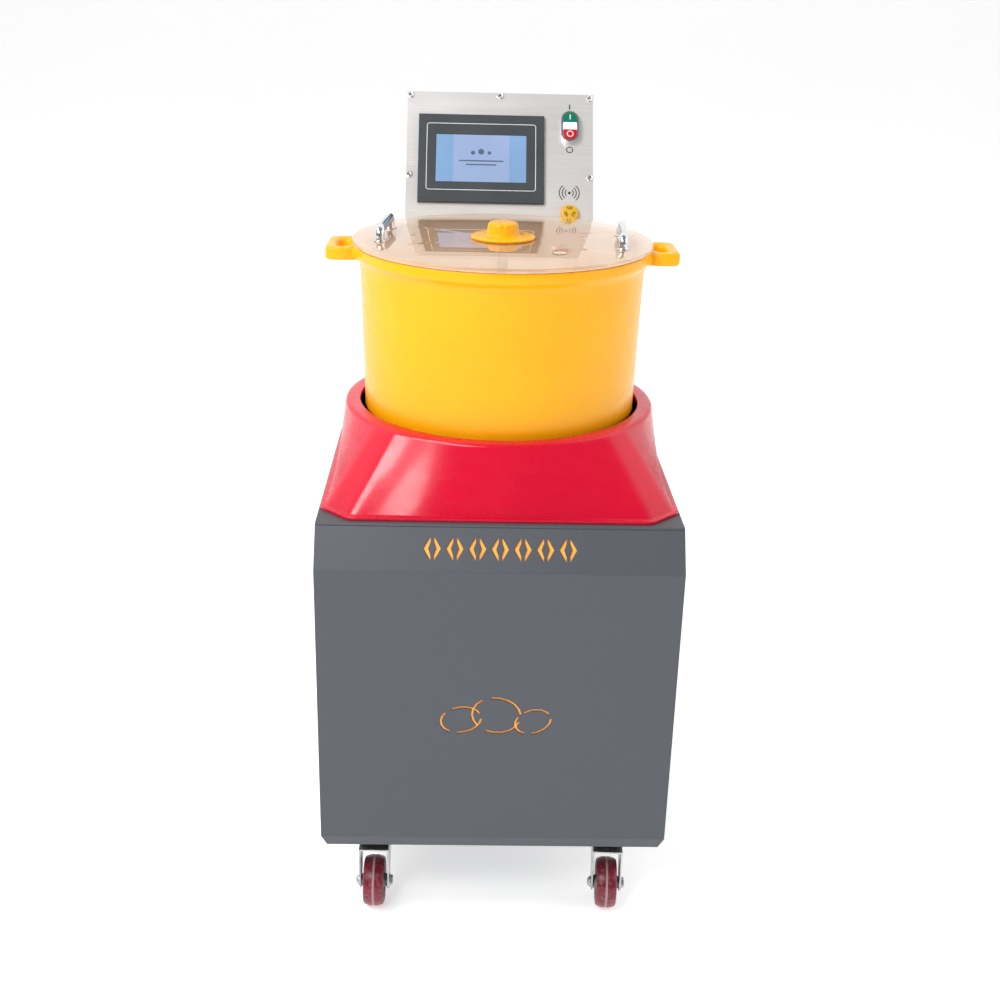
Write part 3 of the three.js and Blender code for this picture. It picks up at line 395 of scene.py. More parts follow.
def plain_metal(name, dark, light, roughness, scale=220.0):
    """Machined or drawn metal, with fine turning lines and a little oil."""
    made = Finish(name, Metallic=0.9)
    lines = made.levels(made.noise(scale, 4.0, (1, 1, 6)), 0.35, 0.65)
    oil = made.levels(made.noise(25.0, 4.0), 0.5, 0.7)
    metal = made.mixed(lines, dark, light)
    made.feed("Base Color", made.mixed(made.times(oil, 0.35), metal, shaded(dark, 0.6)))
    made.feed("Roughness", made.levels(made.plus(lines, oil), 0.0, 2.0, roughness - 0.08, roughness + 0.12))
    made.bump(lines, 0.06 * MM, 0.3)
    return made.material


def plain_plastic(name, colour, roughness, texture=500.0, depth=0.12, **sockets):
    """Moulded plastic or rubber, with a fine tool texture and faint wear."""
    made = Finish(name, **sockets)
    cloud = made.levels(made.noise(22.0, 4.0), 0.3, 0.7)
    wear = scratches(made, 260.0, 0.4)
    base = made.mixed(cloud, shaded(colour, 0.9), shaded(colour, 1.08))
    made.feed("Base Color", made.mixed(made.times(wear, 0.5), base, shaded(colour, 1.5)))
    made.feed("Roughness", made.plus(wear, made.levels(cloud, 0.0, 1.0, roughness, roughness + 0.1)))
    made.bump(made.noise(texture, 3.0), depth * MM, 0.4)
    return made.material


def lit_screen(name, colour, strength):
    """A lit display: an even glow with a fine grid of dots under smooth glass."""
    made = Finish(name, Roughness=0.08, Coat_Weight=0.5, Coat_Roughness=0.03, Emission_Strength=strength)
    dots = made.levels(made.cells(1400.0), 0.2, 0.6)
    glow = made.mixed(dots, shaded(colour, 0.94), colour)
    drift = made.levels(made.noise(14.0, 2.0), 0.3, 0.7)
    glow = made.mixed(made.times(drift, 0.15), glow, shaded(colour, 1.15))
    made.feed("Base Color", made.mixed(drift, shaded(colour, 0.25), shaded(colour, 0.3)))
    made.feed("Emission Color", glow)
    return made.material


def worn_tread(colour):
    """Hard rubber with floor dust on it."""
    made = Finish("tread_maroon", IOR=1.5)
    cloud = made.levels(made.noise(60.0, 5.0), 0.4, 0.7)
    dust = made.levels(made.noise(170.0, 4.0), 0.52, 0.72)
    rubber = made.mixed(cloud, shaded(colour, 0.8), shaded(colour, 1.25))
    made.feed("Base Color", made.mixed(made.times(dust, 0.4), rubber, (0.42, 0.20, 0.20)))
    made.feed("Roughness", made.levels(made.plus(dust, cloud), 0.0, 2.0, 0.28, 0.55))
    made.bump(made.plus(made.noise(500.0, 3.0), dust), 0.12 * MM, 0.4)
    return made.material


def finish_makers(colours):
    """A maker for every finish, by its name."""
    return {
        "grey_paint": lambda: powder_coat(
            tuple(colours.paint), bpy.context.scene.tumbler_shapes.bend_radius),
        # The orange sheets get a painted glow: an emission in their own colour, though they are no lamp.
        "orange_acrylic": lambda: plain_plastic(
            "orange_acrylic", tuple(colours.accent), 0.3, Emission_Color=(*colours.accent, 1),
            Emission_Strength=0.45),
        "red_plastic": lambda: moulded_red(tuple(colours.collar)),
        "yellow_plastic": lambda: moulded_yellow(tuple(colours.bowl)),
        "clear_acrylic": clear_sheet,
        "silicone": soft_gasket,
        "chrome": polished_chrome,
        "zinc": plated_zinc,
        "steel": lambda: plain_metal("steel", (0.30, 0.31, 0.33), (0.46, 0.47, 0.48), 0.4),
        "stainless": brushed_plate,
        "spring_steel": lambda: plain_metal("spring_steel", (0.09, 0.095, 0.1), (0.16, 0.165, 0.17), 0.38),
        "rubber": lambda: plain_plastic("rubber", (0.018, 0.018, 0.019), 0.6, 350.0, 0.3),
        "cast_grey": lambda: plain_plastic("cast_grey", (0.13, 0.16, 0.2), 0.45, 260.0, 0.5),
        "lamination_steel": lambda: plain_metal(
            "lamination_steel", (0.2, 0.13, 0.07), (0.36, 0.25, 0.15), 0.5),
        "bezel_grey": lambda: plain_plastic("bezel_grey", (0.046, 0.054, 0.061), 0.5, 900.0, 0.08),
        "screen_blue": lambda: lit_screen("screen_blue", (0.28, 0.48, 0.80), 0.62),
        "screen_card": lambda: lit_screen("screen_card", (0.36, 0.48, 0.75), 0.72),
        "screen_ink": lambda: lit_screen("screen_ink", (0.16, 0.20, 0.30), 0.5),
        "black_plastic": lambda: plain_plastic("black_plastic", (0.013, 0.013, 0.014), 0.42),
        "green_plastic": lambda: plain_plastic("green_plastic", (0.0, 0.19, 0.12), 0.25, depth=0.03),
        "button_red": lambda: plain_plastic("button_red", (0.62, 0.006, 0.02), 0.25, depth=0.03),
        "white_lens": lambda: plain_plastic(
            "white_lens", (0.86, 0.88, 1.0), 0.2, depth=0.03, Emission_Color=(0.75, 0.8, 1, 1),
            Emission_Strength=0.55),
        "buzzer_yellow": lambda: plain_plastic("buzzer_yellow", (0.72, 0.44, 0.02), 0.28, depth=0.05),
        "wheel_grey": lambda: plain_plastic("wheel_grey", (0.24, 0.235, 0.225), 0.5, 320.0, 0.2),
        "tread_maroon": lambda: worn_tread(tuple(colours.tread)),
        "tread_line": lambda: plain_plastic("tread_line", (0.42, 0.27, 0.27), 0.5, 400.0, 0.2),
        "white_ink": lambda: plain_plastic("white_ink", (0.85, 0.86, 0.86), 0.5, depth=0.02),
        "black_ink": lambda: plain_plastic("black_ink", (0.03, 0.03, 0.032), 0.5, depth=0.02),
    }


FINISHES = {}


def finish(name):
    """The finish with this name, made the first time that it is asked for."""
    if name not in FINISHES:
        FINISHES[name] = finish_makers(bpy.context.scene.tumbler_colours)[name]()
        FINISHES[name].name = f"{name}_finish"
    return FINISHES[name]


# ---------------------------------------------------------------- modelling
def as_object(bm, name, body, finishes, stands_for=(), place=None, sharp=38, shaded_already=False):
    """The modelled shape as a shaded object that rides on one body of the machine."""
    if place is not None:
        bmesh.ops.transform(bm, matrix=place, verts=bm.verts)
    mesh = bpy.data.meshes.new(name)
    bm.to_mesh(mesh)
    bm.free()
    smooth = [polygon.use_smooth or not shaded_already for polygon in mesh.polygons]
    mesh.set_sharp_from_angle(angle=math.radians(sharp))
    mesh.polygons.foreach_set("use_smooth", smooth)
    finishes = [finishes] if isinstance(finishes, str) else finishes
    for one in finishes:
        mesh.materials.append(finish(one))
    made = bpy.data.objects.new(name, mesh)
    bpy.context.scene.collection.objects.link(made)
    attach(made, body)
    if stands_for:
        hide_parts(*stands_for)
    return made


def round_edges(bm, edges, radius, segments=3):
    return bmesh.ops.bevel(
        bm, geom=list(edges), offset=radius, offset_type="OFFSET", affect="EDGES", segments=segments,
        profile=0.5, material=-1, clamp_overlap=True)["faces"]


def corner_edges(bm, degrees=30):
    limit = math.radians(degrees)
    return [e for e in bm.edges if len(e.link_faces) == 2 and e.calc_face_angle(0) > limit]


def block(low, high, radius=0.0, segments=3):
    """A box between two corners, with rounded edges."""
    low, high = Vector(low), Vector(high)
    bm = bmesh.new()
    bmesh.ops.create_cube(bm, size=1)
    bmesh.ops.scale(bm, vec=high - low, verts=bm.verts)
    bmesh.ops.translate(bm, vec=(low + high) / 2, verts=bm.verts)
    if radius:
        round_edges(bm, bm.edges, radius, segments)
    return bm


def turned(corners, steps=96, segments=4):
    """A closed (radius, height, rounding) outline, its corners rounded, spun about Z."""
    bm = bmesh.new()
    verts = [bm.verts.new((r, 0, z)) for r, z, _ in corners]
    bm.faces.new(verts)
    for rounding in sorted({corner[2] for corner in corners if corner[2]}):
        chosen = [vert for vert, corner in zip(verts, corners) if corner[2] == rounding]
        bmesh.ops.bevel(
            bm, geom=chosen, offset=rounding, offset_type="OFFSET", affect="VERTICES", segments=segments,
            profile=0.5, material=-1)
    bmesh.ops.delete(bm, geom=list(bm.faces), context="FACES_ONLY")
    on_axis = [e for e in bm.edges if all(abs(v.co.x) < 1e-7 for v in e.verts)]
    bmesh.ops.delete(bm, geom=on_axis, context="EDGES")
    bmesh.ops.spin(
        bm, geom=[*bm.verts, *bm.edges], cent=(0, 0, 0), axis=(0, 0, 1), dvec=(0, 0, 0),
        angle=2 * math.pi, steps=steps, use_merge=True)
    bmesh.ops.remove_doubles(bm, verts=bm.verts, dist=1e-6)
    bmesh.ops.recalc_face_normals(bm, faces=bm.faces)
    return bm


def joined(shapes):
    """Several shapes as one, each taken in and freed."""
    whole = bmesh.new()
    for shape in shapes:
        mesh = bpy.data.meshes.new("part")
        shape.to_mesh(mesh)
        shape.free()
        whole.from_mesh(mesh)
        bpy.data.meshes.remove(mesh)
    return whole


def moved(bm, place):
    bmesh.ops.transform(bm, matrix=place, verts=bm.verts)
    return bm


def rod(radius, start, sides=24):
    """The open round end of a rod that rises along Z, and its edges."""
    bm = bmesh.new()
    made = bmesh.ops.create_circle(bm, cap_ends=False, radius=radius, segments=sides)
    bmesh.ops.translate(bm, vec=start, verts=bm.verts)
    return bm, list({e for v in made["verts"] for e in v.link_edges})


def run_on(bm, edges, by):
    """Draws a rod's end on in a straight line, and gives its new end."""
    drawn = bmesh.ops.extrude_edge_only(bm, edges=edges)["geom"]
    verts = [v for v in drawn if isinstance(v, bmesh.types.BMVert)]
    bmesh.ops.translate(bm, vec=by, verts=verts)
    fresh = set(verts)
    return [e for e in drawn if isinstance(e, bmesh.types.BMEdge) and set(e.verts) <= fresh]


def bend_on(bm, edges, centre, axis, angle, steps=8, climb=0.0):
    """Bends a rod's end round a centre, and gives its new end. climb is its rise along the axis."""
    ring = list({v for e in edges for v in e.verts})
    last = bmesh.ops.spin(
        bm, geom=[*ring, *edges], cent=centre, axis=axis, dvec=Vector(axis) * climb / steps,
        angle=angle, steps=steps, use_merge=False)["geom_last"]
    return [e for e in last if isinstance(e, bmesh.types.BMEdge)]


def close_ends(bm):
    bmesh.ops.holes_fill(bm, edges=[e for e in bm.edges if e.is_boundary], sides=0)
    bmesh.ops.remove_doubles(bm, verts=bm.verts, dist=1e-7)
    bmesh.ops.recalc_face_normals(bm, faces=bm.faces)
    return bm


def merged_copy(node):
    """A copy of a frame piece with its triangles joined at their corners."""
    bm = bmesh.new()
    bm.from_mesh(frame["nodes"][node].data)
    bmesh.ops.remove_doubles(bm, verts=bm.verts, dist=1e-5)
    return bm


def softened(node, radius, fold=0.0, fold_length=0.1, segments=2, finishes=None, cut_outs=False):
    """A frame piece with rounded edges: long folds by one radius and every other edge by another.

    A sheet with cut-outs keeps its flat faces, and its finish rounds the edges.
    """
    bm = merged_copy(node)
    if not cut_outs:
        bmesh.ops.dissolve_limit(bm, angle_limit=math.radians(0.6), verts=bm.verts, edges=bm.edges)
    for face in bm.faces:
        bends = [edge.calc_face_angle(0) for edge in face.edges if len(edge.link_faces) == 2]
        face.smooth = not cut_outs and any(math.radians(2) < bend < math.radians(30) for bend in bends)
    strips = []
    if fold:
        folds = [e for e in corner_edges(bm, 20) if e.calc_length() > fold_length and e.is_convex]
        strips += round_edges(bm, folds, fold, 4)
    if radius:
        strips += round_edges(bm, corner_edges(bm, 35), radius, segments)
    for face in strips:
        if face.is_valid:
            face.smooth = True
    return as_object(
        bm, f"{node}_finished", BODY_OF[node], finishes or SLOTS[node], [node], shaded_already=True)


def dome_screw(radius, recess=True):
    """A dome-headed screw on its washer, standing on Z from its seat."""
    washer = turned([(0, 0, 0), (radius * 1.05, 0, 0), (radius * 1.05, radius * 0.16, radius * 0.1),
                     (0, radius * 0.16, 0)], 24, 2)
    floor = radius * (0.42 if recess else 0.75)
    head = turned([
        (0, radius * 0.1, 0), (radius * 0.92, radius * 0.1, 0), (radius * 0.92, radius * 0.42, radius * 0.25),
        (radius * 0.42, radius * 0.75, 0), (radius * 0.38, floor, 0), (0, floor, 0)], 24, 4)
    return joined([washer, head])


def hex_bolt(radius, height):
    """A hexagon head with a chamfered crown, on a washer."""
    head = bmesh.new()
    bmesh.ops.create_cone(
        head, cap_ends=True, segments=6, radius1=radius, radius2=radius, depth=height)
    bmesh.ops.translate(head, vec=(0, 0, height / 2 + radius * 0.15), verts=head.verts)
    crown = [e for e in head.edges if all(v.co.z > height * 0.7 for v in e.verts)]
    round_edges(head, crown, radius * 0.12, 2)
    washer = turned([(0, 0, 0), (radius * 1.3, 0, 0), (radius * 1.3, radius * 0.2, radius * 0.1),
                     (0, radius * 0.2, 0)], 24, 2)
    return joined([head, washer])


def copies(make, places):
    return joined([moved(make(), place) for place in places])


# ---------------------------------------------------------------- cabinet
class TUMBLER_OT_cabinet(bpy.types.Operator):
    """Folded sheet cabinet with its cut-out symbols, deck, base, inlet and screws"""

    bl_idname = "tumbler.cabinet"
    bl_label = "Cabinet"

    def execute(self, context):
        shapes = context.scene.tumbler_shapes
        self.front(shapes.lip_drop)
        softened("cabinet_shell", 0, cut_outs=True)
        softened("deck_plate", shapes.sheet_edge, finishes="grey_paint")
        softened("base_plate", shapes.sheet_edge)
        self.upper_sheet()
        softened("motif_backing", 0.3 * MM)
        softened("power_inlet", 0.5 * MM)
        self.screws()
        self.inlet_pins()
        return {"FINISHED"}

    def upper_sheet(self):
        """The upper orange sheet, brought up against the front's inner face."""
        mesh = softened("badge_backing", 0.3 * MM).data
        largest = sorted(mesh.polygons, key=lambda polygon: polygon.area)[-2:]
        outwards = min((polygon.normal for polygon in largest), key=lambda normal: normal.y)
        mesh.transform(Matrix.Translation(0.47 * MM * outwards))

    def front(self, drop):
        """The folded front, its lower lip hanging a little deeper than the frame's."""
        mesh = softened("front_panel", 0, cut_outs=True).data
        foot = span("front_panel")[0].z
        for vert in mesh.vertices:
            if vert.co.z < foot + 1 * MM:
                vert.co.z -= drop

    def screws(self):
        low, high = span("cabinet_shell")
        facing_back = Matrix.Rotation(math.radians(-90), 4, "X")
        places = [
            Matrix.Translation((x, high.y, z)) @ facing_back
            for x in (low.x + 0.025, 0, high.x - 0.025)
            for z in (low.z + 0.03, (low.z + high.z) / 2, high.z - 0.025)
        ]
        as_object(copies(lambda: dome_screw(4.5 * MM), places), "rear_screws", "cabinet", "zinc")
        deck = span("deck_plate")[1].z - 12 * MM
        edge = high.y - 0.015
        heads = [Matrix.Translation((x, edge, deck)) for x in (-0.24, -0.12, 0.12, 0.24)]
        as_object(copies(lambda: dome_screw(4 * MM), heads), "deck_screws", "cabinet", "zinc")
        under = span("base_plate")[0].z
        downwards = Matrix.Rotation(math.pi, 4, "X")
        bolts = []
        for corner in CORNERS:
            x, y, _ = JOINTS[f"swivel_{corner}"]["pos_m"]
            bolts += [
                Matrix.Translation((x + a * 0.032, y + b * 0.032, under)) @ downwards
                for a in (-1, 1) for b in (-1, 1)
            ]
        as_object(copies(lambda: hex_bolt(6.5 * MM, 5 * MM), bolts), "caster_bolts", "cabinet", "zinc")

    def inlet_pins(self):
        centre = middle("power_inlet")
        back = span("power_inlet")[1].y
        pins = [
            block((centre.x + x - 0.001, back - 0.012, centre.z + z - 0.002),
                  (centre.x + x + 0.001, back - 0.002, centre.z + z + 0.002), 0.0003, 2)
            for x, z in ((-0.006, -0.002), (0.006, -0.002), (0, 0.003))
        ]
        as_object(joined(pins), "inlet_pins", "cabinet", "zinc")


# ---------------------------------------------------------------- casters
class TUMBLER_OT_casters(bpy.types.Operator):
    """Four swivel casters: mount, pressed fork, wheel core, banded tread, axle bolt and dome nut"""

    bl_idname = "tumbler.casters"
    bl_label = "Casters"

    def execute(self, context):
        for corner in CORNERS:
            self.caster(corner, caster_place(corner), context.scene.tumbler_shapes)
        return {"FINISHED"}

    def caster(self, corner, place, shapes):
        softened(f"caster_mount_{corner}", 0.8 * MM)
        softened(f"caster_fork_{corner}", 0.7 * MM, segments=3)
        tread_low, tread_high = span_in(f"wheel_tread_{corner}", place)
        hub_low, hub_high = span_in(f"wheel_hub_{corner}", place)
        axle = (tread_low + tread_high) / 2
        across = Matrix.Rotation(math.radians(90), 4, "Y")
        at_axle = place @ Matrix.Translation(axle) @ across
        self.wheel(corner, at_axle, (tread_high - tread_low), (hub_high - hub_low), shapes)
        self.axle(corner, at_axle, span_in(f"axle_bolt_{corner}", place), place, axle)

    def wheel(self, corner, at_axle, tread, hub, shapes):
        outer, half = tread.z / 2, tread.x / 2
        core, boss = hub.z / 2, hub.x / 2
        line = shapes.tread_line / 2
        band = turned([
            (core + 0.3 * MM, -half, 1 * MM), (outer - 3.5 * MM, -half, 4 * MM),
            (outer - 0.1 * MM, -half * 0.45, 5 * MM), (outer, -line - 0.4 * MM, 0),
            (outer - 0.5 * MM, -line, 0), (outer - 0.5 * MM, line, 0),
            (outer, line + 0.4 * MM, 0), (outer - 0.1 * MM, half * 0.45, 5 * MM),
            (outer - 3.5 * MM, half, 4 * MM), (core + 0.3 * MM, half, 1 * MM)], 72, 4)
        for face in band.faces:
            centre = face.calc_center_median()
            on_rim = math.hypot(centre.x, centre.y) > outer * 0.9
            face.material_index = int(on_rim and abs(centre.z) < line)
        as_object(band, f"tread_{corner}", f"wheel_{corner}", ["tread_maroon", "tread_line"],
                  [f"wheel_tread_{corner}"], at_axle)
        rim, web, neck, bore = core - 3.5 * MM, half - 7 * MM, 13 * MM, 6.3 * MM
        disc = turned([
            (bore, -boss, 0.5 * MM), (neck - 3 * MM, -boss, 0.8 * MM), (neck, -web, 2 * MM),
            (rim - 2 * MM, -web, 2 * MM), (rim, -half + 0.8 * MM, 0.8 * MM),
            (core, -half + 0.8 * MM, 0.5 * MM),
            (core, half - 0.8 * MM, 0.5 * MM), (rim, half - 0.8 * MM, 0.8 * MM), (rim - 2 * MM, web, 2 * MM),
            (neck, web, 2 * MM), (neck - 3 * MM, boss, 0.8 * MM), (bore, boss, 0.5 * MM)], 64, 3)
        ribs = []
        for k in range(6):
            turn = Matrix.Rotation(k * math.pi / 3, 4, "Z")
            for side in (-1, 1):
                low, high = sorted((side * (web - 1 * MM), side * (half - 2.2 * MM)))
                rib = block((neck - 2 * MM, -1.1 * MM, low), (rim - 0.5 * MM, 1.1 * MM, high), 0.4 * MM, 2)
                ribs.append(moved(rib, turn))
        as_object(joined([disc, *ribs]), f"core_{corner}", f"wheel_{corner}", "wheel_grey",
                  [f"wheel_hub_{corner}"], at_axle)

    def axle(self, corner, at_axle, bolt_span, place, axle):
        left, right = bolt_span[0].x - axle.x, bolt_span[1].x - axle.x
        shank = turned([(0, left + 6 * MM, 0), (6 * MM, left + 6 * MM, 0), (6 * MM, right - 5 * MM, 0),
                        (0, right - 5 * MM, 0)], 32, 2)
        nut = moved(hex_bolt(8.2 * MM, 4.2 * MM), Matrix.Translation((0, 0, right - 6.2 * MM)))
        dome = turned([
            (0, 0, 0), (7.8 * MM, 0, 0), (7.8 * MM, 3 * MM, 2.2 * MM), (3.5 * MM, 5.8 * MM, 1.5 * MM),
            (0, 6 * MM, 0)], 32, 4)
        flange = turned([
            (0, 0, 0), (8.8 * MM, 0, 0), (8.8 * MM, 1.6 * MM, 0.5 * MM), (0, 1.6 * MM, 0)], 32, 2)
        outer_end = Matrix.Translation((0, 0, left + 6.6 * MM)) @ Matrix.Rotation(math.pi, 4, "X")
        head = moved(joined([dome, flange]), outer_end)
        as_object(joined([shank, nut, head]), f"axle_{corner}", f"fork_{corner}", "zinc",
                  [f"axle_bolt_{corner}"], at_axle)
        top = span_in(f"caster_fork_{corner}", place)[1].z
        race = turned([
            (16 * MM, top - 5.4 * MM, 0.5 * MM), (22 * MM, top - 4.6 * MM, 0.8 * MM),
            (22 * MM, top - 3.1 * MM, 0.5 * MM), (16 * MM, top - 3.1 * MM, 0)], 48, 2)
        rivet = turned([(0, top - 7.5 * MM, 0), (5 * MM, top - 7 * MM, 1.5 * MM), (7 * MM, top - 3.1 * MM, 0),
                        (0, top - 3.1 * MM, 0)], 24, 3)
        as_object(joined([race, rivet]), f"swivel_race_{corner}", f"fork_{corner}", "zinc", (), place)


# ---------------------------------------------------------------- splash collar
class TUMBLER_OT_collar(bpy.types.Operator):
    """Splash collar: a chamfered square foot drawn up into a round lip"""

    bl_idname = "tumbler.collar"
    bl_label = "Splash collar"

    CHAMFER = 43 * MM
    LEDGE = 8 * MM
    FLANGE = 5 * MM
    WALL = 5 * MM
    RING_OUTER = 238 * MM
    RING_INNER = 216 * MM
    LIP_DROP = 24 * MM

    def foot_radius(self, angle, inset):
        half = span("splash_collar")[1].x
        across, along = abs(math.cos(angle)), abs(math.sin(angle))
        side = (half - inset) / max(across, along)
        corner = (2 * half - self.CHAMFER - inset * math.sqrt(2)) / (across + along)
        return min(side, corner)

    def loop(self, bm, steps, height, radius=None, inset=None):
        """One level loop of the collar: round, or the foot's outline drawn in by an amount."""
        ring = bmesh.ops.create_circle(bm, cap_ends=False, radius=1, segments=steps)["verts"]
        for vert in ring:
            angle = math.atan2(vert.co.y, vert.co.x)
            reach = radius if inset is None else self.foot_radius(angle, inset)
            vert.co = (reach * math.cos(angle), reach * math.sin(angle), height)
        return list({edge for vert in ring for edge in vert.link_edges})

    def execute(self, context):
        shapes = context.scene.tumbler_shapes
        low, high = span("splash_collar")
        foot, top, wall, ledge = low.z, high.z, self.WALL, self.LEDGE
        steps = 256
        bm = bmesh.new()
        loops = [
            self.loop(bm, steps, foot, inset=0),
            self.loop(bm, steps, foot + self.FLANGE, inset=0),
            self.loop(bm, steps, foot + self.FLANGE, inset=ledge),
            self.loop(bm, steps, top, radius=self.RING_OUTER),
            self.loop(bm, steps, top, radius=self.RING_INNER),
            self.loop(bm, steps, top - self.LIP_DROP, radius=self.RING_INNER),
            self.loop(bm, steps, top - self.LIP_DROP, radius=self.RING_INNER + wall),
            self.loop(bm, steps, top - wall - 2 * MM, radius=self.RING_INNER + wall),
            self.loop(bm, steps, top - wall - 2 * MM, radius=self.RING_OUTER - wall - 2 * MM),
            self.loop(bm, steps, foot, inset=ledge + wall),
        ]
        roundings = [0.5 * MM, 1.6 * MM, 1.2 * MM, shapes.collar_edge, 1.6 * MM, 0.8 * MM]
        for one, after in zip(loops, loops[1:] + loops[:1]):
            bmesh.ops.bridge_loops(bm, edges=one + after)
        for edges, rounding in zip(loops, roundings):
            round_edges(bm, [edge for edge in edges if edge.is_valid], rounding, 4)
        bmesh.ops.recalc_face_normals(bm, faces=bm.faces)
        as_object(bm, "splash_collar_finished", "cabinet", "red_plastic", ["splash_collar"], AT_BOWL, 32)
        return {"FINISHED"}


# ---------------------------------------------------------------- bowl
class TUMBLER_OT_bowl(bpy.types.Operator):
    """Moulded bowl with its centre post and two loop lugs"""

    bl_idname = "tumbler.bowl"
    bl_label = "Bowl"

    STEPS = 64
    RIM = 223 * MM

    def outline(self, low, high, wall):
        """The wall's outline as radius and height, up the outside and down the inside and the post."""
        foot, rim = low.z, high.z
        outside, inside = 214 * MM, 214 * MM - wall
        base = 207.5 * MM
        return [
            (11, foot), (16, foot), (90, foot), (172, foot), (base / MM, foot),
            (base / MM + 0.8, foot + 0.036), (base / MM + 2.4, foot + 0.11),
            (outside / MM - 1.6, rim - 0.075), (outside / MM - 0.4, rim - 0.034),
            (216, rim - 0.021), (self.RIM / MM - 1, rim - 0.0158), (self.RIM / MM, rim - 0.0125),
            (self.RIM / MM, rim - 0.003), (self.RIM / MM - 0.6, rim - 0.0006), (self.RIM / MM - 3, rim),
            (inside / MM + 3, rim), (inside / MM + 0.4, rim - 0.0008), (inside / MM, rim - 0.004),
            (inside / MM - 0.8, rim - 0.05), (base / MM - wall / MM + 1.2, foot + 0.09),
            (base / MM - wall / MM + 0.4, foot + 0.034), (base / MM - wall / MM - 1, foot + 0.0095),
            (168, foot + 0.009), (90, foot + 0.009), (60, foot + 0.009), (45, foot + 0.014),
            (40, foot + 0.05), (26, foot + 0.17), (20.4, foot + 0.218), (19.5, foot + 0.2245),
            (16, foot + 0.225), (12.5, foot + 0.225), (11, foot + 0.224), (11, foot + 0.1),
            (11, foot + 0.003),
        ]

    def execute(self, context):
        shapes = context.scene.tumbler_shapes
        low, high = span("bowl")
        bm = bmesh.new()
        verts = [bm.verts.new((r * MM, 0, z)) for r, z in self.outline(low, high, shapes.bowl_wall)]
        edges = [bm.edges.new(pair) for pair in zip(verts, verts[1:] + verts[:1])]
        bmesh.ops.spin(
            bm, geom=verts + edges, cent=(0, 0, 0), axis=(0, 0, 1), dvec=(0, 0, 0), angle=2 * math.pi,
            steps=self.STEPS, use_merge=True)
        bmesh.ops.recalc_face_normals(bm, faces=bm.faces)
        for side in (-1, 1):
            self.lug(bm, side, high.z, high.x, shapes.lug_width / 2)
        bmesh.ops.recalc_face_normals(bm, faces=bm.faces)
        made = as_object(bm, "bowl_finished", "bowl", "yellow_plastic", ["bowl"], AT_BOWL, 180)
        surface = made.modifiers.new("smooth", "SUBSURF")
        surface.levels = surface.render_levels = 3
        return {"FINISHED"}

    def lug(self, bm, side, rim, reach, half_width):
        """Draws the rim's outer faces out into a tab and opens a finger hole through it."""
        quarter = 2 * 2 * math.pi / self.STEPS + 0.01
        chosen = []
        for face in bm.faces:
            centre = face.calc_center_median()
            angle = math.atan2(centre.y, side * centre.x)
            outside = math.hypot(centre.x, centre.y) > 0.2165
            if outside and rim - 0.022 < centre.z < rim - 0.0025 and abs(angle) < quarter:
                chosen.append(face)
        levels = sorted({round(v.co.z, 5) for face in chosen for v in face.verts})
        top, thickness = rim - 0.5 * MM, 21 * MM
        stations = (0.2275, 0.2455, reach + 1 * MM)
        for number, out in enumerate(stations):
            drawn = bmesh.ops.extrude_face_region(bm, geom=chosen)["geom"]
            bmesh.ops.delete(bm, geom=chosen, context="FACES")
            chosen = [f for f in drawn if isinstance(f, bmesh.types.BMFace)]
            for vert in {v for face in chosen for v in face.verts}:
                if number == 0:
                    column = round(math.atan2(vert.co.y, side * vert.co.x) / (2 * math.pi / self.STEPS))
                    across = {0: 0, 1: 30 * MM, 2: half_width + 5 * MM}[abs(column)]
                    vert.co.y = math.copysign(across, column)
                    share = levels.index(min(levels, key=lambda z: abs(z - vert.co.z))) / (len(levels) - 1)
                    vert.co.z = top - thickness * (1 - share)
                if number == 2 and abs(vert.co.y) > 40 * MM:
                    vert.co.y = math.copysign(half_width + 1 * MM, vert.co.y)
                vert.co.x = side * out
        opened = []
        for face in bm.faces:
            centre = face.calc_center_median()
            within = stations[0] < side * centre.x < stations[1] and abs(centre.y) < 28 * MM
            if within and (abs(centre.z - top) < 1e-4 or abs(centre.z - top + thickness) < 1e-4):
                opened.append(face)
        around = {e for f in opened for e in f.edges}
        rims = [e for e in around if sum(f in opened for f in e.link_faces) == 1]
        bmesh.ops.delete(bm, geom=opened, context="FACES_ONLY")
        inner = [e for e in bm.edges if not e.link_faces]
        bmesh.ops.delete(bm, geom=inner, context="EDGES")
        bmesh.ops.bridge_loops(bm, edges=[e for e in rims if e.is_valid])


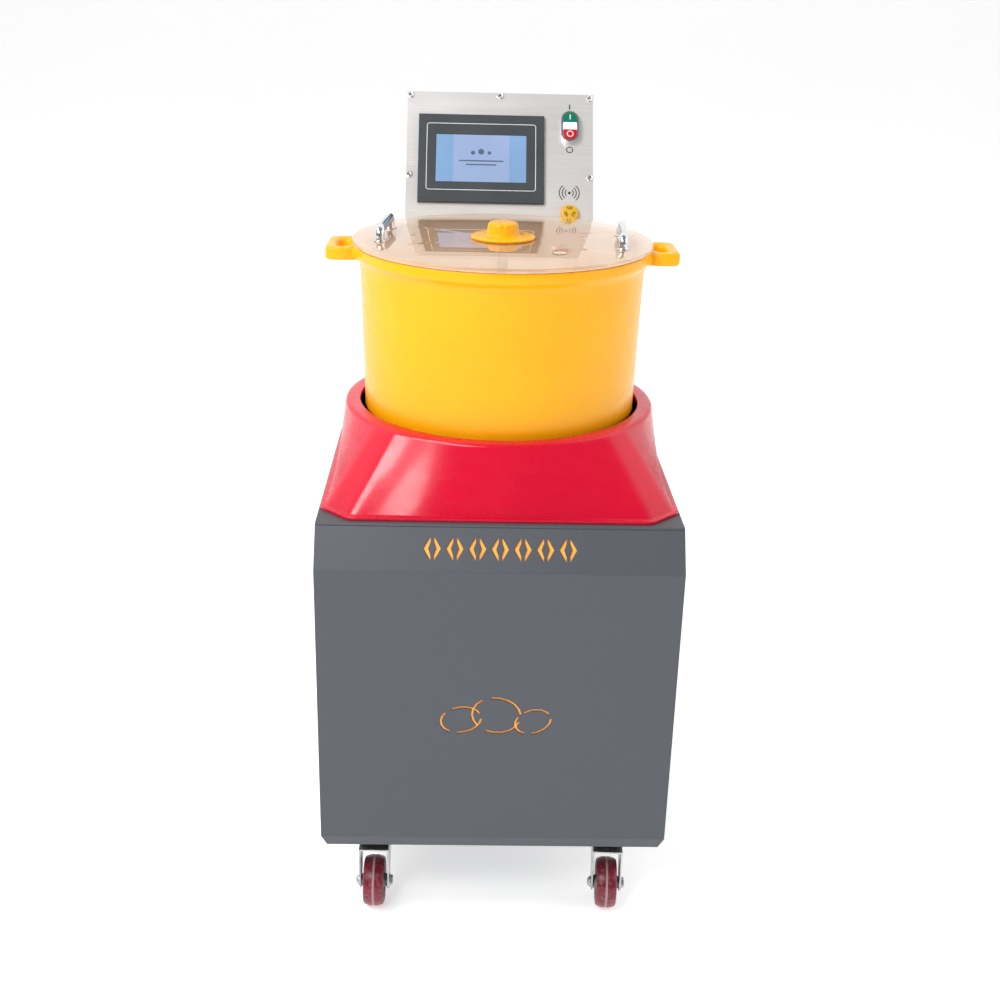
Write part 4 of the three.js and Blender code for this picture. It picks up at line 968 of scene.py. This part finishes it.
# ---------------------------------------------------------------- lid and knob
class TUMBLER_OT_lid(bpy.types.Operator):
    """Clear lid with four slots, its pale seal and two bent-rod handles"""

    bl_idname = "tumbler.lid"
    bl_label = "Lid"

    BAR = 7 * MM
    BEND = 9 * MM
    FOOT = 10 * MM
    SLOT_REACH = Vector((121 * MM, 66 * MM))
    SLOT_SIZE = Vector((13 * MM, 3 * MM))
    SEAL_BORE = 204.5 * MM

    def execute(self, context):
        steps = context.scene.tumbler_shapes.round_steps
        place = lid_place()
        low, high = span("lid")
        radius = (high.x - low.x) / 2
        bore = 9.5 * MM
        disc = turned([
            (bore, low.z, 0), (radius, low.z, 0.8 * MM), (radius, high.z, 1.2 * MM),
            (bore, high.z, 0)], steps, 4)
        reach, half = self.SLOT_REACH, self.SLOT_SIZE / 2
        slots = [
            block((a * reach.x - half.x, b * reach.y - half.y, low.z - 5 * MM),
                  (a * reach.x + half.x, b * reach.y + half.y, high.z + 5 * MM))
            for a in (-1, 1) for b in (-1, 1)
        ]
        lid = as_object(disc, "lid_finished", "lid", "clear_acrylic", ["lid"], place)
        self.cut(lid, joined(slots), place)
        seal_low, seal_high = span("lid_seal")
        outer = (seal_high.x - seal_low.x) / 2
        ring = turned([
            (self.SEAL_BORE, seal_low.z, 0.6 * MM), (outer, seal_low.z, 0.6 * MM),
            (outer, seal_high.z, 0.3 * MM),
            (self.SEAL_BORE, seal_high.z, 0.3 * MM)], steps, 2)
        as_object(ring, "lid_seal_finished", "lid", "silicone", ["lid_seal"], place)
        for node in ("lid_handle_left", "lid_handle_right"):
            self.handle(node, place)
        return {"FINISHED"}

    def cut(self, target, cutter, place):
        """Cuts one shape out of an object for good."""
        tool = bpy.data.objects.new("cutter", bpy.data.meshes.new("cutter"))
        moved(cutter, place).to_mesh(tool.data)
        cutter.free()
        bpy.context.scene.collection.objects.link(tool)
        carve = target.modifiers.new("cut", "BOOLEAN")
        carve.operation, carve.solver, carve.object = "DIFFERENCE", "EXACT", tool
        result = target.evaluated_get(bpy.context.evaluated_depsgraph_get())
        mesh = bpy.data.meshes.new_from_object(result)
        target.modifiers.clear()
        target.data = mesh
        mesh.set_sharp_from_angle(angle=math.radians(38))
        bpy.data.objects.remove(tool)

    def handle(self, node, place):
        low, high = span_in(node, place)
        x = (low.x + high.x) / 2
        reach = (high.y - low.y) / 2 - self.FOOT
        floor, crown = low.z, high.z - self.BAR
        bm, end = rod(self.BAR, (x, -reach, floor + 1 * MM))
        end = run_on(bm, end, (0, 0, crown - self.BEND - floor - 1 * MM))
        end = bend_on(bm, end, (x, -reach + self.BEND, crown - self.BEND), (1, 0, 0), -math.pi / 2)
        end = run_on(bm, end, (0, 2 * (reach - self.BEND), 0))
        end = bend_on(bm, end, (x, reach - self.BEND, crown - self.BEND), (1, 0, 0), -math.pi / 2)
        run_on(bm, end, (0, 0, floor + 1 * MM - crown + self.BEND))
        close_ends(bm)
        washer = [
            (0, 0, 0), (self.FOOT, 0, 0.3 * MM), (self.FOOT, 1.3 * MM, 0.6 * MM),
            (self.BAR, 2 * MM, 0.6 * MM), (0, 2 * MM, 0)]
        feet = [
            moved(turned(washer, 32, 3), Matrix.Translation((x, side * reach, floor)))
            for side in (-1, 1)
        ]
        as_object(joined([bm, *feet]), f"{node}_finished", "lid", "chrome", [node], place, 50)


class TUMBLER_OT_knob(bpy.types.Operator):
    """Moulded clamp knob: a broad brim and a gently fluted cap"""

    bl_idname = "tumbler.knob"
    bl_label = "Clamp knob"

    FLUTES = 8

    def execute(self, context):
        low, high = span("clamp_knob")
        brim = (high.x - low.x) / 2
        foot, top = low.z, high.z
        shelf = foot + 5.6 * MM
        bm = turned([
            (9 * MM, foot, 0.5 * MM), (brim - 2.5 * MM, foot, 1.2 * MM), (brim, foot + 2.8 * MM, 1.6 * MM),
            (brim - 1.5 * MM, shelf - 1 * MM, 1.5 * MM), (brim - 8 * MM, shelf, 2 * MM),
            (24.8 * MM, shelf + 0.8 * MM, 2.2 * MM), (23.6 * MM, top - 7.5 * MM, 2.5 * MM),
            (22.2 * MM, top, 4.5 * MM), (12 * MM, top - 0.2 * MM, 2 * MM), (0, top - 1.2 * MM, 0),
            (0, foot + 18.6 * MM, 0), (9 * MM, foot + 18.6 * MM, 0.5 * MM)], 128, 5)
        for vert in bm.verts:
            reach = math.hypot(vert.co.x, vert.co.y)
            if vert.co.z > shelf + 2 * MM and reach > 15 * MM:
                wave = 0.5 + 0.5 * math.cos(self.FLUTES * math.atan2(vert.co.y, vert.co.x))
                rise = min(1.0, (vert.co.z - shelf - 2 * MM) / (9 * MM))
                vert.co.xy *= 1 - 0.045 * rise * wave ** 3
        as_object(bm, "clamp_knob_finished", "knob", "yellow_plastic", ["clamp_knob"], AT_BOWL, 50)
        return {"FINISHED"}


# ---------------------------------------------------------------- console
class TUMBLER_OT_console(bpy.types.Operator):
    """Console case on its column, control plate, dome screws and symbols"""

    bl_idname = "tumbler.console"
    bl_label = "Console"

    def execute(self, context):
        shapes = context.scene.tumbler_shapes
        softened("console_case", 0.4 * MM, 1.6 * MM, 0.08)
        softened("console_column", 0.4 * MM, 2.5 * MM, 0.2)
        softened("control_panel", 0.35 * MM)
        place = plate_place()
        low, high = span_in("control_panel", place)
        inset = 5.5 * MM
        foot = low.z / MM
        rows = [
            (-1, -7), (0, -6), (1, -7), (-1, -154), (1, -154), (-1, 7 + foot), (0, 6 + foot), (1, 7 + foot)]
        outwards = Matrix.Rotation(math.radians(90), 4, "X")
        places = [place @ Matrix.Translation((a * (high.x - inset), 0, z * MM)) @ outwards for a, z in rows]
        screws = copies(lambda: dome_screw(shapes.screw_radius), places)
        as_object(screws, "panel_screws", "cabinet", "chrome")
        self.symbols(place)
        self.column_foot()
        return {"FINISHED"}

    def symbols(self, place):
        """A bar over the switch, a ring under it, and sound arcs over the buzzer."""
        switch = span_in("switch_head", place)
        x = (switch[0].x + switch[1].x) / 2
        lying = Matrix.Rotation(math.radians(90), 4, "X")
        bar = block((x - 1 * MM, -0.25 * MM, switch[1].z + 8 * MM), (x + 1 * MM, 0, switch[1].z + 17 * MM))
        ring = moved(self.ring(5.2 * MM, 1.5 * MM), Matrix.Translation((x, 0, switch[0].z - 11 * MM)) @ lying)
        buzz = span_in("buzzer", place)
        centre = Matrix.Translation(((buzz[0].x + buzz[1].x) / 2, 0, buzz[1].z + 23 * MM)) @ lying
        dot = turned([(0, 0, 0), (2.4 * MM, 0, 0), (2.4 * MM, 0.25 * MM, 0), (0, 0.25 * MM, 0)], 24)
        dot = moved(dot, centre)
        arcs = [
            moved(self.ring(radius * MM, 1.5 * MM, 100, side), centre)
            for radius in (7, 12, 17) for side in (0, math.pi)
        ]
        as_object(joined([bar, ring, dot, *arcs]), "plate_symbols", "cabinet", "black_ink", (), place)

    def ring(self, radius, width, degrees=360, start=0.0):
        """A thin flat ring, or an arc of one."""
        bm = bmesh.new()
        low, high = radius - width / 2, radius + width / 2
        corners = [(low, 0, 0), (high, 0, 0), (high, 0, 0.25 * MM), (low, 0, 0.25 * MM)]
        face = bm.faces.new([bm.verts.new(corner) for corner in corners])
        whole = degrees == 360
        if whole:
            bmesh.ops.delete(bm, geom=[face], context="FACES_ONLY")
        geometry = [*bm.verts, *bm.edges, *bm.faces]
        first = Matrix.Rotation(start - math.radians(degrees) / 2, 4, "Z")
        bmesh.ops.transform(bm, matrix=first, verts=bm.verts)
        bmesh.ops.spin(
            bm, geom=geometry, cent=(0, 0, 0), axis=(0, 0, 1), dvec=(0, 0, 0), angle=math.radians(degrees),
            steps=40 if whole else 16, use_merge=whole)
        bmesh.ops.recalc_face_normals(bm, faces=bm.faces)
        return bm

    def column_foot(self):
        low, high = span("console_column")
        deck = low.z
        rim = 16 * MM
        foot = [
            block((low.x - rim, y0, deck), (high.x + rim, y1, deck + 3 * MM), 0.6 * MM)
            for y0, y1 in ((low.y - rim, low.y - 0.2 * MM), (high.y + 0.2 * MM, high.y + rim))
        ]
        as_object(joined(foot), "column_foot", "cabinet", "grey_paint")
        bolts = [
            Matrix.Translation((x, y, deck + 3 * MM))
            for x in (low.x + 0.02, 0, high.x - 0.02) for y in (low.y - rim / 2, high.y + rim / 2)
        ]
        as_object(copies(lambda: hex_bolt(4.5 * MM, 3.5 * MM), bolts), "column_bolts", "cabinet", "zinc")
        back = span("console_case")
        facing_back = Matrix.Rotation(math.radians(-90), 4, "X")
        heads = [
            Matrix.Translation((x, back[1].y, z)) @ facing_back
            for x in (back[0].x + 0.012, 0, back[1].x - 0.012) for z in (back[0].z + 0.015, back[1].z - 0.03)
        ]
        as_object(copies(lambda: dome_screw(3.2 * MM), heads), "case_screws", "cabinet", "chrome")


class TUMBLER_OT_screen(bpy.types.Operator):
    """Touch screen: housing with a printed outline and a lit display"""

    bl_idname = "tumbler.screen"
    bl_label = "Touch screen"

    def execute(self, context):
        place = plate_place()
        softened("screen_housing", 0.5 * MM, 1.2 * MM, 0.1)
        low, high = span_in("screen_housing", place)
        self.outline(place, low, high)
        self.display(place)
        return {"FINISHED"}

    def outline(self, place, low, high):
        """A thin printed line, rounded at its corners, round the display."""
        bm = bmesh.new()
        left, right = low.x + 14 * MM, high.x - 14 * MM
        bottom, top = low.z + 21.5 * MM, high.z - 17 * MM
        points = [(left, bottom), (right, bottom), (right, top), (left, top)]
        face = bm.faces.new([bm.verts.new((x, low.y - 0.25 * MM, z)) for x, z in points])
        bmesh.ops.bevel(
            bm, geom=list(bm.verts), offset=5 * MM, offset_type="OFFSET", affect="VERTICES", segments=5,
            profile=0.5, material=-1)
        face = bm.faces[:][0]
        bmesh.ops.inset_individual(bm, faces=[face], thickness=1.1 * MM)
        bmesh.ops.delete(bm, geom=[face], context="FACES_ONLY")
        drawn = bmesh.ops.extrude_face_region(bm, geom=list(bm.faces), use_keep_orig=True)["geom"]
        verts = [v for v in drawn if isinstance(v, bmesh.types.BMVert)]
        bmesh.ops.translate(bm, vec=(0, 0.4 * MM, 0), verts=verts)
        bmesh.ops.recalc_face_normals(bm, faces=bm.faces)
        as_object(bm, "screen_outline", "cabinet", "white_ink", (), place)

    def display(self, place):
        low, high = span_in("screen_glass", place)
        bm = block(low, high, 0.2 * MM, 2)
        width = high.x - low.x
        card = (low.x + 0.19 * width, high.x - 0.19 * width)
        for x in card:
            bmesh.ops.bisect_plane(
                bm, geom=[*bm.verts, *bm.edges, *bm.faces], dist=1e-6, plane_co=(x, 0, 0), plane_no=(1, 0, 0))
        for face in bm.faces:
            face.material_index = int(card[0] < face.calc_center_median().x < card[1])
        as_object(
            bm, "screen_glass_finished", "cabinet", ["screen_blue", "screen_card"], ["screen_glass"], place)
        centre, front = (low + high) / 2, low.y
        lying = Matrix.Rotation(math.radians(90), 4, "X")
        marks = [
            moved(turned([(0, 0, 0), (radius * MM, 0, 0), (radius * MM, 0.1 * MM, 0), (0, 0.1 * MM, 0)], 28),
                  Matrix.Translation((centre.x + x * MM, front, centre.z + z * MM)) @ lying)
            for x, z, radius in ((-14, 10, 3.6), (0, 12, 5.2), (14, 10, 3.2))
        ]
        bars = [
            block((centre.x - half * MM, front - 0.1 * MM, centre.z + z * MM),
                  (centre.x + half * MM, front, centre.z + (z + 2.4) * MM))
            for half, z in ((38, -6), (26, -13))
        ]
        as_object(joined(marks + bars), "screen_marks", "cabinet", "screen_ink", (), place)


class TUMBLER_OT_switch(bpy.types.Operator):
    """Double push switch and the buzzer"""

    bl_idname = "tumbler.switch"
    bl_label = "Switch and buzzer"

    def execute(self, context):
        place = plate_place()
        softened("switch_head", 1.1 * MM, segments=4)
        softened("switch_contacts", 0.6 * MM)
        softened("pilot_lens", 0.7 * MM, segments=3)
        softened("on_button", 0.8 * MM, segments=3)
        softened("off_button", 0.8 * MM, segments=3)
        self.marks(place)
        self.buzzer(place)
        return {"FINISHED"}

    def marks(self, place):
        """A white bar on the green button and a white ring on the red one."""
        low, high = span_in("on_button", place)
        x, z = (low.x + high.x) / 2, (low.z + high.z) / 2
        bar = block(
            (x - 1 * MM, low.y - 0.2 * MM, z - 4.5 * MM), (x + 1 * MM, low.y, z + 4.5 * MM), 0.08 * MM, 1)
        as_object(bar, "on_mark", "on_button", "white_ink", (), place)
        low, high = span_in("off_button", place)
        x, z = (low.x + high.x) / 2, (low.z + high.z) / 2
        lying = Matrix.Translation((x, low.y, z + 0.6 * MM)) @ Matrix.Rotation(math.radians(90), 4, "X")
        ring = turned([
            (4.2 * MM, 0, 0), (5.8 * MM, 0, 0), (5.8 * MM, 0.2 * MM, 0), (4.2 * MM, 0.2 * MM, 0)], 40)
        as_object(moved(ring, lying), "off_mark", "off_button", "white_ink", (), place)

    def buzzer(self, place):
        low, high = span_in("buzzer", place)
        radius = (high.x - low.x) / 2
        centre = Vector(((low.x + high.x) / 2, 0, (low.z + high.z) / 2))
        lying = place @ Matrix.Translation(centre) @ Matrix.Rotation(math.radians(90), 4, "X")
        face, back = -low.y, -high.y
        dome = turned([
            (0, back, 0), (11 * MM, back, 0.5 * MM), (11 * MM, 0.3 * MM, 0), (radius, 0.3 * MM, 0.3 * MM),
            (radius, face - 4.5 * MM, 2 * MM), (radius - 3 * MM, face - 1.4 * MM, 2 * MM),
            (0, face - 0.4 * MM, 0)], 64, 5)
        as_object(dome, "buzzer_finished", "cabinet", "buzzer_yellow", ["buzzer"], lying, 60)
        # Black insets on the buzzer's face: painted shade standing in for the dark insides of its vent slots.
        vent_shades = []
        for k in range(3):
            for turn in (-24, 0, 24):
                angle = math.radians(90 + 120 * k + turn)
                slot = block(
                    (5 * MM, -0.5 * MM, face - 1.6 * MM), (10.5 * MM, 0.5 * MM, face - 0.05 * MM),
                    0.2 * MM, 2)
                vent_shades.append(moved(slot, Matrix.Rotation(angle, 4, "Z")))
        as_object(joined(vent_shades), "buzzer_vent_shade", "cabinet", "black_ink", (), lying)


# ---------------------------------------------------------------- drive
class TUMBLER_OT_drive(bpy.types.Operator):
    """Spring-carried seat, mat, stud, springs, and the motor with its offset weights"""

    bl_idname = "tumbler.drive"
    bl_label = "Drive"

    COIL = 17 * MM
    WIRE = 2.5 * MM
    TURNS = 2.6
    MAT = 175 * MM

    def execute(self, context):
        steps = context.scene.tumbler_shapes.round_steps
        for number in (1, 2, 3, 4):
            self.spring(f"spring_{number}")
        softened("seat_plate", 0.8 * MM)
        low, high = span("bowl_mat")
        mat = turned([
            (11 * MM, low.z, 0), (self.MAT, low.z, 0.5 * MM), (self.MAT, high.z, 1 * MM),
            (11 * MM, high.z, 0.5 * MM)], steps, 3)
        as_object(mat, "bowl_mat_finished", "seat", "rubber", ["bowl_mat"], AT_BOWL)
        self.stud()
        for node in ("motor_hanger", "motor_case", "motor_shield_upper", "motor_shield_lower",
                     "motor_stator", "motor_rotor", "offset_weight_upper", "offset_weight_lower"):
            softened(node, 0.5 * MM)
        self.fins()
        return {"FINISHED"}

    def spring(self, node):
        """A wire coiled with a flat turn at each end, that stretches between the deck and the seat."""
        low, high = span(node)
        centre = (low + high) / 2
        bottom, top = low.z + self.WIRE, high.z - self.WIRE
        bm, end = rod(self.WIRE, (0, 0, 0), 12)
        bmesh.ops.rotate(bm, cent=(0, 0, 0), matrix=Matrix.Rotation(math.pi / 2, 3, "X"), verts=bm.verts)
        bmesh.ops.translate(bm, vec=(centre.x + self.COIL, centre.y, bottom), verts=bm.verts)
        for turns, climb in ((0.7, 0.3 * MM), (self.TURNS, top - bottom - 0.6 * MM), (0.7, 0.3 * MM)):
            end = bend_on(bm, end, (centre.x, centre.y, 0), (0, 0, 1), 2 * math.pi * turns,
                          max(8, round(28 * turns)), climb)
        close_ends(bm)
        made = as_object(bm, f"{node}_finished", "cabinet", "spring_steel", [node])
        made.parent = None
        del made["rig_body"]
        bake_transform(made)

    def stud(self):
        low, high = span("centre_stud")
        corners = [(0, low.z, 0), (8 * MM, low.z, 0), (8 * MM, high.z - 40 * MM, 0)]
        crest, root, pitch = 8 * MM, 7.2 * MM, 2 * MM
        for k in range(19):
            height = high.z - 40 * MM + k * pitch
            corners += [(root, height + pitch / 2, 0), (crest, height + pitch, 0)]
        corners += [(6.5 * MM, high.z, 0), (0, high.z, 0)]
        as_object(turned(corners, 40), "centre_stud_finished", "seat", "zinc", ["centre_stud"], AT_BOWL)

    def fins(self):
        low, high = span("motor_case")
        radius = (high.x - low.x) / 2
        fins = []
        for k in range(24):
            fin = block(
                (radius - 1 * MM, -1.2 * MM, low.z + 6 * MM), (radius + 7 * MM, 1.2 * MM, high.z - 6 * MM),
                0.6 * MM, 2)
            fins.append(moved(fin, Matrix.Rotation(k * math.pi / 12, 4, "Z")))
        as_object(joined(fins), "motor_fins", "seat", "cast_grey", (), AT_BOWL)
        seat = Matrix.Translation((91 * MM, 0, span("motor_hanger")[1].z - 4 * MM))
        downwards = Matrix.Rotation(math.pi, 4, "X")
        places = [
            AT_BOWL @ Matrix.Rotation(k * math.pi / 3, 4, "Z") @ seat @ downwards
            for k in range(6)
        ]
        as_object(copies(lambda: hex_bolt(5 * MM, 4 * MM), places), "hanger_bolts", "seat", "zinc")


# ---------------------------------------------------------------- stage
class TUMBLER_OT_stage(bpy.types.Operator):
    """Pale floor and backdrop, soft lights and the camera"""

    bl_idname = "tumbler.stage"
    bl_label = "Stage"

    EYE = Vector((-0.0525, -2.0812, 1.3885))
    YAW, PITCH, ROLL = 1.455, 21.858, -1.427

    def execute(self, context):
        studio = context.scene.tumbler_studio
        self.floor()
        self.sky(context.scene, studio)
        self.light("key", (-2.4, -2.2, 3.0), (0, 0, 0.7), 2.2, studio.key_power)
        self.light("fill", (3.0, -1.0, 1.9), (0, 0, 0.6), 2.4, studio.fill_power)
        self.light("top", (-1.5, -1.0, 2.9), (0, -0.1, 0.7), 0.9, studio.top_power)
        self.light("gloss", (-0.75, -1.75, 1.95), (0, -0.3, 0.7), 0.7, studio.gloss_power)
        self.camera(context.scene, studio)
        return {"FINISHED"}

    def floor(self):
        bm = bmesh.new()
        verts = [bm.verts.new((-9, y, 0)) for y in (-9, 5)]
        bm.edges.new(verts)
        curve = bmesh.ops.spin(
            bm, geom=[verts[1]], cent=(-9, 5, 3), axis=(1, 0, 0), dvec=(0, 0, 0), angle=math.pi / 2, steps=12,
            use_merge=False)["geom_last"]
        end = [v for v in curve if isinstance(v, bmesh.types.BMVert)][0]
        top = bm.verts.new((-9, end.co.y, 9))
        bm.edges.new((end, top))
        drawn = bmesh.ops.extrude_edge_only(bm, edges=list(bm.edges))["geom"]
        bmesh.ops.translate(bm, vec=(18, 0, 0), verts=[v for v in drawn if isinstance(v, bmesh.types.BMVert)])
        bmesh.ops.recalc_face_normals(bm, faces=bm.faces)
        mesh = bpy.data.meshes.new("floor")
        bm.to_mesh(mesh)
        bm.free()
        mesh.shade_smooth()
        made = Finish("floor_paper", Emission_Color=(1, 1, 1, 1), Emission_Strength=0.5)
        tint = made.levels(made.noise(0.8, 2.0), 0.3, 0.7)
        made.feed("Base Color", made.mixed(tint, (0.90, 0.90, 0.90), (0.92, 0.92, 0.92)))
        made.feed("Roughness", made.levels(tint, 0.0, 1.0, 0.6, 0.7))
        mesh.materials.append(made.material)
        floor = bpy.data.objects.new("floor", mesh)
        bpy.context.scene.collection.objects.link(floor)

    def sky(self, scene, studio):
        world = bpy.data.worlds.new("studio")
        scene.world = world
        world.use_nodes = True
        nodes, links = world.node_tree.nodes, world.node_tree.links
        direction = nodes.new("ShaderNodeTexCoord").outputs["Generated"]
        parts = nodes.new("ShaderNodeSeparateXYZ")
        links.new(direction, parts.inputs["Vector"])
        ahead = nodes.new("ShaderNodeMapRange")
        ahead.interpolation_type = "SMOOTHSTEP"
        ends = {"From Min": -0.35, "From Max": 0.45, "To Min": studio.room, "To Max": studio.sky}
        for socket, value in ends.items():
            ahead.inputs[socket].default_value = value
        links.new(parts.outputs["Y"], ahead.inputs["Value"])
        background = nodes["Background"]
        background.inputs["Color"].default_value = (1, 1, 1, 1)
        links.new(ahead.outputs["Result"], background.inputs["Strength"])
        scene.view_settings.view_transform = "Standard"

    def light(self, name, at, towards, size, power):
        data = bpy.data.lights.new(name, "AREA")
        data.shape, data.size, data.energy = "DISK", size, power
        lamp = bpy.data.objects.new(name, data)
        lamp.location = at
        aim = Vector(towards) - Vector(at)
        lamp.rotation_euler = aim.to_track_quat("-Z", "Y").to_euler()
        bpy.context.scene.collection.objects.link(lamp)

    def camera(self, scene, studio):
        data = bpy.data.cameras.new("camera")
        data.sensor_fit, data.sensor_width = "HORIZONTAL", 36
        data.lens = studio.focal_length
        data.clip_end = 100
        data.shift_x, data.shift_y = 0.0046, 0.0121
        yaw, pitch, roll = (math.radians(a) for a in (self.YAW, self.PITCH, self.ROLL))
        ahead = Vector((math.sin(yaw) * math.cos(pitch), math.cos(yaw) * math.cos(pitch), -math.sin(pitch)))
        level = Vector((math.cos(yaw), -math.sin(yaw), 0))
        upright = level.cross(ahead)
        right = math.cos(roll) * level - math.sin(roll) * upright
        up = math.sin(roll) * level + math.cos(roll) * upright
        turn = Matrix((right, up, -ahead)).transposed()
        camera = bpy.data.objects.new("camera", data)
        camera.matrix_world = Matrix.Translation(self.EYE) @ turn.to_4x4()
        scene.collection.objects.link(camera)
        scene.camera = camera


# ---------------------------------------------------------------- panel and running
OPERATORS = (
    TUMBLER_OT_cabinet, TUMBLER_OT_casters, TUMBLER_OT_collar, TUMBLER_OT_bowl, TUMBLER_OT_lid,
    TUMBLER_OT_knob, TUMBLER_OT_console, TUMBLER_OT_screen, TUMBLER_OT_switch, TUMBLER_OT_drive,
    TUMBLER_OT_stage,
)


class TUMBLER_PT_sidebar(bpy.types.Panel):
    """Lists the pieces to build and their settings"""

    bl_idname = "TUMBLER_PT_sidebar"
    bl_label = "Rock Tumbler"
    bl_space_type = "VIEW_3D"
    bl_region_type = "UI"
    bl_category = "Tumbler"

    def draw(self, context):
        for operator in OPERATORS:
            self.layout.operator(operator.bl_idname)
        scene = context.scene
        for group in (scene.tumbler_shapes, scene.tumbler_colours, scene.tumbler_studio):
            box = self.layout.box()
            for name in group.bl_rna.properties.keys():
                if name not in ("rna_type", "name"):
                    box.prop(group, name)


CLASSES = (TumblerShapes, TumblerColours, TumblerStudio, *OPERATORS, TUMBLER_PT_sidebar)


def register():
    for one in CLASSES:
        bpy.utils.register_class(one)
    bpy.types.Scene.tumbler_shapes = PointerProperty(type=TumblerShapes)
    bpy.types.Scene.tumbler_colours = PointerProperty(type=TumblerColours)
    bpy.types.Scene.tumbler_studio = PointerProperty(type=TumblerStudio)


def unregister():
    del bpy.types.Scene.tumbler_studio
    del bpy.types.Scene.tumbler_colours
    del bpy.types.Scene.tumbler_shapes
    for one in reversed(CLASSES):
        bpy.utils.unregister_class(one)


def main():
    register()
    for operator in OPERATORS:
        group, name = operator.bl_idname.split(".")
        getattr(getattr(bpy.ops, group), name)()


if __name__ == "__main__":
    main()
